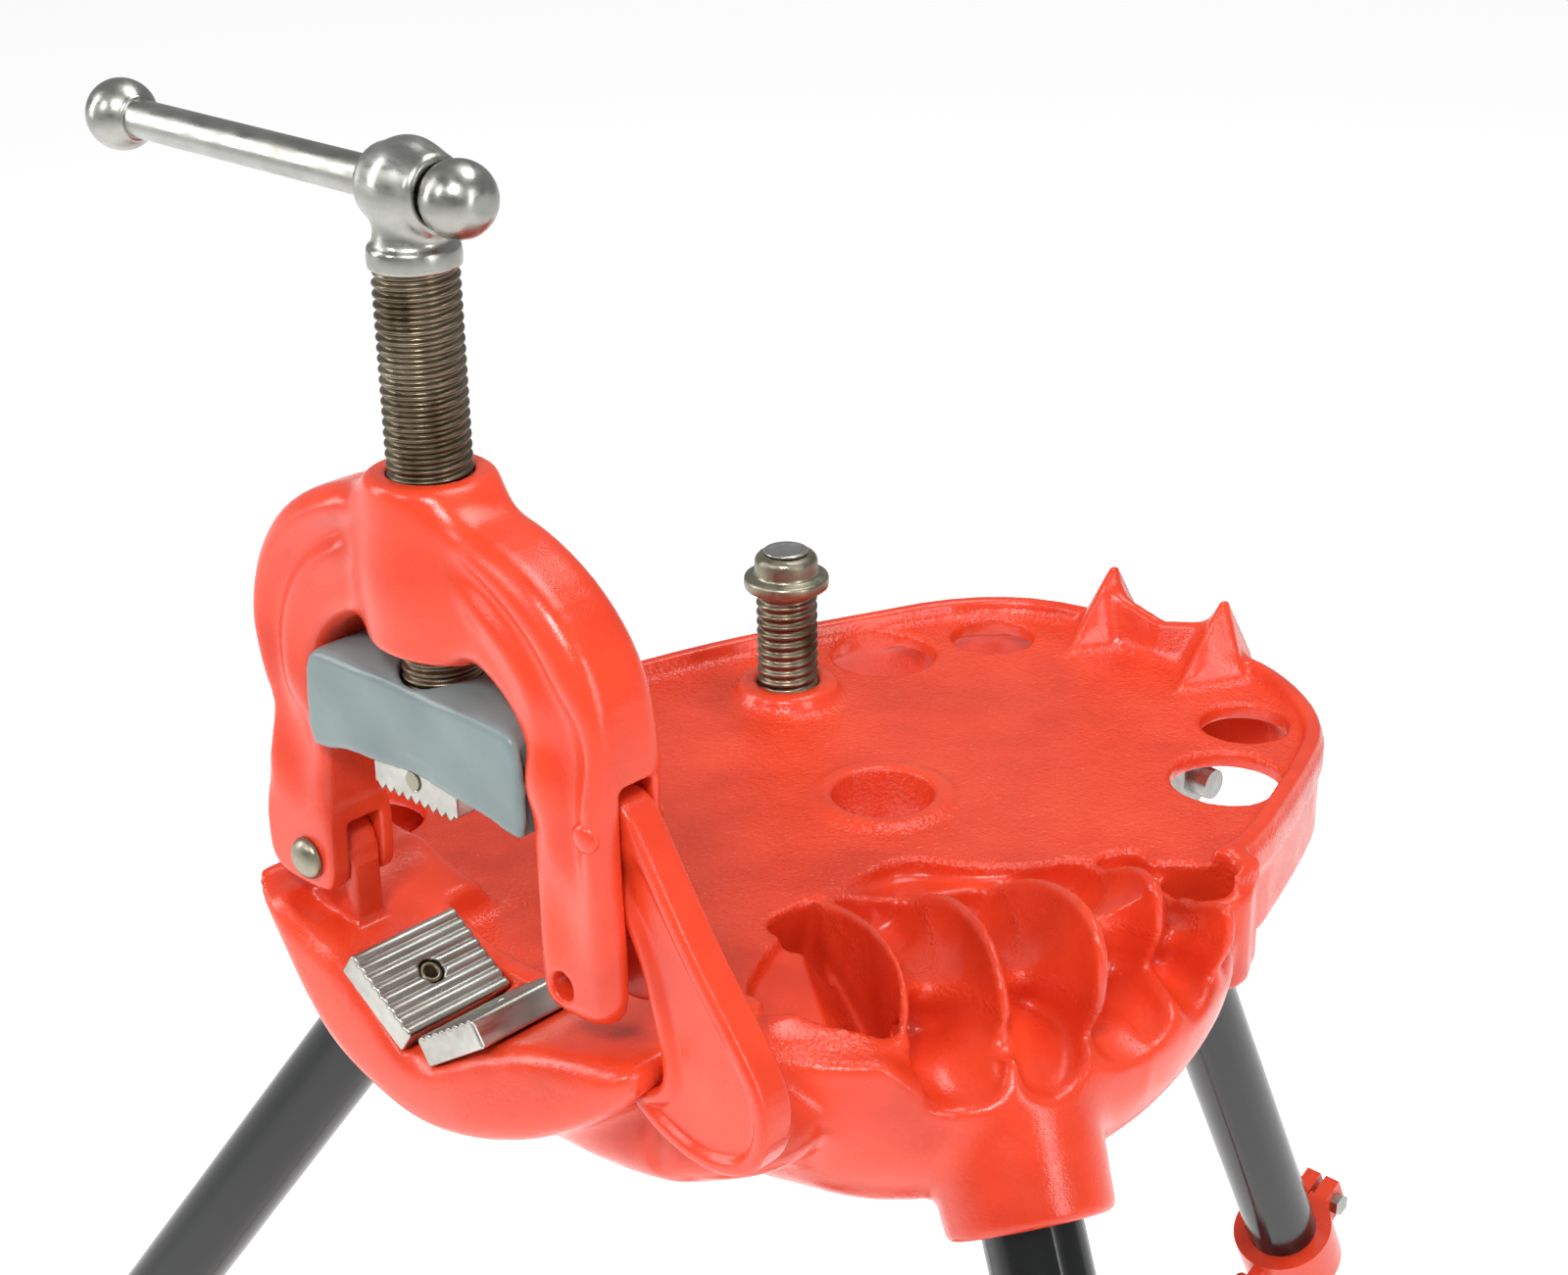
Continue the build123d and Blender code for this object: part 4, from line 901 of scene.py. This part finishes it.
def threadPiece(name, centre, screw, body, replaces=(), around=72, perTurn=14):
    s = screw
    turn = np.arange(around) / around
    rows = int((s["top"] - s["bottom"]) / s["pitch"] * perTurn)
    z = np.linspace(s["bottom"], s["top"], rows)[:, None]
    phase = (z / s["pitch"] - turn[None, :]) % 1
    # rounded crest and root: a softened triangle wave
    wave = np.abs(phase - 0.5) * 2
    shape = smoothStep(wave, 0.12, 0.88)
    fade = np.clip(np.minimum((z - s["bottom"]) / s["pitch"], (s["top"] - z) / s["pitch"]), 0, 1)
    r = s["major"] - s["depth"] * (shape * fade + (1 - fade) * 0.9)
    a = 2 * np.pi * turn[None, :]
    verts = np.stack([centre[0] + r * np.cos(a), centre[1] + r * np.sin(a), z + 0 * a], -1).reshape(-1, 3)
    faces = gridFaces(rows, around, closeColumns=True)[:, ::-1]
    ends = np.array([[centre[0], centre[1], s["bottom"]], [centre[0], centre[1], s["top"]]])
    base = len(verts)
    c = np.arange(around)
    n = (c + 1) % around
    last = (rows - 1) * around
    caps = [[base, int(k2), int(k1)] for k1, k2 in zip(c, n)]
    caps += [[base + 1, int(last + k1), int(last + k2)] for k1, k2 in zip(c, n)]
    piece = putPiece(name, np.concatenate([verts, ends]), [list(map(int, f)) for f in faces] + caps,
                     body, finishes["thread"], replaces)
    tidyNormals(piece.data)
    return piece


threadPiece("viseThread", (0, 0), viseScrew, "screw", ("vise_screw",))
threadPiece("braceThread", (-85.3, 237.2), braceScrew, "brace_stud", ("brace_stud",))


# forged head of the screw, with the eye that the bar slides in
# sizes of the sliding bar, whose balls seat in the head
bar = dict(r=6.0, left=-139.0, right=21.0, z=headZ, ballR=11.15, flat=4.4)
screwHead = dict(step=0.7)


def forgeHead():
    low, high = (-19, -19, 240), (19, 19, 285)
    p = openGrid(low, high, screwHead["step"])
    x, y, z = p
    collar = cone(p, (0, 0, 242.8), (0, 0, 249.0), 13.5, 13.2, 0.9)
    neck = cone(p, (0, 0, 246.0), (0, 0, 262.0), 12.6, 9.6, 2.0)
    barrel = post(p, (0, headZ), 11.2, -12.9, 12.9, 3.2, axis=0)
    dome = egg(p, (0, 0, 266.0), (12.0, 12.0, 13.6))
    f = join(join(join(collar, neck, 2.5), dome, 4.5), barrel, 4.0)
    # the balls seat in the eye's ends
    for side in (-1, 1):
        f = cut(f, ball(p, (side * bar["right"], 0, headZ), 12.0), 0.7)
    f = cut(f, np.sqrt(y ** 2 + (z - headZ) ** 2) - 6.1, 0.5)
    castPiece("screwHead", f, low, screwHead["step"], "screw", finishes["handle"], (), 60000)


forgeHead()


# sliding bar and its pressed balls
def arc(r, a, b, n, cx=0.0, cz=0.0):
    # points of a circle from angle a to b in degrees, as (radius, height)
    t = np.radians(np.linspace(a, b, n))
    return [(cx + r * math.cos(k), cz + r * math.sin(k)) for k in t]


barProfile = [(5.7, -144.2)] + [(bar["r"], h) for h in np.linspace(-143.8, 25.8, 24)] + [(5.7, 26.2)]
turnedPiece("handleBar", barProfile, (0, 0, bar["z"]), (1, 0, 0), "handle", finishes["handle"],
            ("handle_bar",))
for side, name, cx in ((-1, "left", bar["left"]), (1, "right", bar["right"])):
    # inner rim, round, then a small flat where the bar's end is riveted over
    flatAt = math.degrees(math.acos(bar["flat"] / bar["ballR"]))
    profile = [(6.2, -9.6), (7.0, -9.2)] + arc(bar["ballR"], -50, flatAt - 3, 30)
    profile += [(bar["flat"] - 0.2, bar["ballR"] * math.sin(math.radians(flatAt)) - 0.05)]
    profile += [(bar["flat"] - 0.7, bar["ballR"] * math.sin(math.radians(flatAt)) + 0.15), (2.0, 10.45),
                (0.3, 10.5)]
    turnedPiece("handleBall_" + name, profile, (cx, 0, bar["z"]), (side, 0, 0), "handle",
                finishes["handle"], ("handle_ball_" + name,), 56)


# ceiling brace: flanged cap turning on the stud's riveted end
capProfile = [(7.7, 46.9), (15.2, 46.8), (16.3, 47.4), (16.5, 48.3), (16.5, 50.6), (16.2, 51.5),
              (15.4, 51.9), (13.2, 52.2), (12.4, 52.9), (12.3, 54.0), (12.3, 57.8), (11.9, 59.2),
              (10.9, 60.3), (9.6, 60.9), (8.4, 61.0), (7.8, 60.7)]
turnedPiece("braceCap", capProfile, (*studAt, 0), (0, 0, 1), "brace_cap", finishes["rivet"],
            ("brace_cap",), 64)
peened = [(7.3, 46.6), (7.3, 60.8), (8.5, 61.3), (8.7, 61.8), (8.4, 62.2), (6.9, 62.5), (5.6, 62.2),
          (4.0, 61.9), (1.5, 61.85), (0.3, 61.8)]
turnedPiece("bracePeenedEnd", peened, (*studAt, 0), (0, 0, 1), "brace_stud", finishes["zinc"],
            (), 48)


# yoke's hinge rivet with domed heads
# a low dome: 7 mm across the radius and 3.6 mm high
dome = [(7.0 * math.cos(t), 13.9 + 3.6 * math.sin(t)) for t in np.linspace(0.05, 1.52, 14)]
domeRear = [(7.0, 13.3), (7.1, 13.8)] + dome
domeFront = [(4.4, -14.0), (4.4, 13.2)] + domeRear
turnedPiece("hingeRivetFront", domeFront, (hingeAt[0], 0, hingeAt[1]), (0, -1, 0), "base",
            finishes["rivet"], ("yoke_hinge_rivet",), 48)
turnedPiece("hingeRivetRear", domeRear, (hingeAt[0], 0, hingeAt[1]), (0, 1, 0), "base",
            finishes["rivet"], (), 48)


# roll pins in the lower jaws: rolled spring steel, ring shaped
for side, name in ((-1, "Left"), (1, "Right")):
    a = math.radians(34)
    axis = np.array([-side * math.sin(a), 0, math.cos(a)])
    mid = np.array([side * 18.0 * math.cos(a), -2.0, 18.0 * math.sin(a)])
    ring = [(2.2, -20.0), (3.7, -20.0), (3.85, -19.6), (3.85, -1.9), (3.55, -1.35), (2.5, -1.3),
            (2.1, -1.7), (2.1, -12.0)]
    turnedPiece("rollPin" + name, ring, mid, axis, "base", finishes["thread"],
                ("lower_jaw_pins",) if side < 0 else (), 40)
print("turned pieces")


# nodes carried over from the frame, by finish
carried = [
    ("rivet", ("upper_jaw_pin", "screw_keeper_pins")),
    ("zinc", ("leg_pivot_washers", "leg_pivot_nuts")),
    ("red", ("tool_tray",)),
]
for legName in legs:
    carried += [
        ("zinc", ("leg_pivot_bolt_" + legName, "collar_bolt_" + legName)),
        ("black", ("leg_tube_" + legName,)),
        ("zinc", ("leg_head_" + legName, "collar_pin_" + legName, "link_rivet_head_" + legName,
                  "tray_rivet_head_" + legName)),
        ("rubber", ("leg_foot_" + legName,)),
        ("red", ("leg_collar_" + legName, "tray_link_" + legName)),
    ]
for key, nodeNames in carried:
    for nodeName in nodeNames:
        cadObject = frame["nodes"][nodeName]
        for slotOf in cadObject.material_slots:
            slotOf.material = finishes[key]
print("carried nodes", sum(len(n) for k, n in carried))


# floor, light and camera
bpy.ops.mesh.primitive_plane_add(size=24, location=(0, 3, 0))
floor = bpy.context.object
floor.name = "studioFloor"
floorLook, floorTree, floorShader, floorPlace = newFinish("studioFloor", (0.93, 0.93, 0.93), 0.0, 0.9, 0.0)
floorShader.inputs["Emission Color"].default_value = (1, 1, 1, 1)
floorShader.inputs["Emission Strength"].default_value = 0.62
floor.data.materials.append(floorLook)

bpy.context.scene.view_settings.view_transform = "Standard"
world = bpy.data.worlds.new("studio")
bpy.context.scene.world = world
world.use_nodes = True
world.node_tree.nodes["Background"].inputs["Color"].default_value = (1, 1, 1, 1)
world.node_tree.nodes["Background"].inputs["Strength"].default_value = 0.34


def softBox(name, place, aim, size, watts, colour=(1, 1, 1)):
    data = bpy.data.lights.new(name, "AREA")
    data.shape = "RECTANGLE"
    data.size, data.size_y = size
    data.energy = watts
    data.color = colour
    lamp = bpy.data.objects.new(name, data)
    bpy.context.scene.collection.objects.link(lamp)
    lamp.location = place
    lamp.rotation_euler = (Vector(aim) - Vector(place)).to_track_quat("-Z", "Y").to_euler()
    return lamp


lights = [
    ("keyBox", (0.9, -1.6, 2.6), (0, -0.2, 0.9), (0.5, 0.5), 31),
    ("glintBox", (-0.5, -2.1, 2.2), (0, -0.2, 0.85), (0.25, 0.7), 9),
    ("leftBox", (-1.7, -1.4, 1.7), (0, -0.2, 0.85), (0.4, 1.6), 17),
    ("rightBox", (2.1, -0.2, 1.6), (0, -0.1, 0.8), (0.4, 1.5), 15),
    ("topBox", (0.2, 0.5, 2.9), (0, -0.1, 0.85), (1.2, 0.8), 20),
]
for light in lights:
    softBox(*light)

view = dict(place=(0.58243, -0.75166, 1.28245), turn=43.82, tilt=23.87, roll=-1.01, lens=62.14)
a, e, ro = (math.radians(view[k]) for k in ("turn", "tilt", "roll"))
forward = np.array([-math.sin(a) * math.cos(e), math.cos(a) * math.cos(e), -math.sin(e)])
flatRight = np.array([math.cos(a), math.sin(a), 0])
levelUp = np.cross(flatRight, forward)
right = math.cos(ro) * flatRight + math.sin(ro) * levelUp
up = -math.sin(ro) * flatRight + math.cos(ro) * levelUp
cameraData = bpy.data.cameras.new("view")
cameraData.lens = view["lens"]
cameraData.sensor_width = 36
cameraData.sensor_fit = "HORIZONTAL"
cameraData.clip_start = 0.05
camera = bpy.data.objects.new("view", cameraData)
bpy.context.scene.collection.objects.link(camera)
turnMatrix = Matrix([list(right), list(up), list(-forward)]).transposed()
camera.matrix_world = Matrix.Translation(view["place"]) @ turnMatrix.to_4x4()
bpy.context.scene.camera = camera
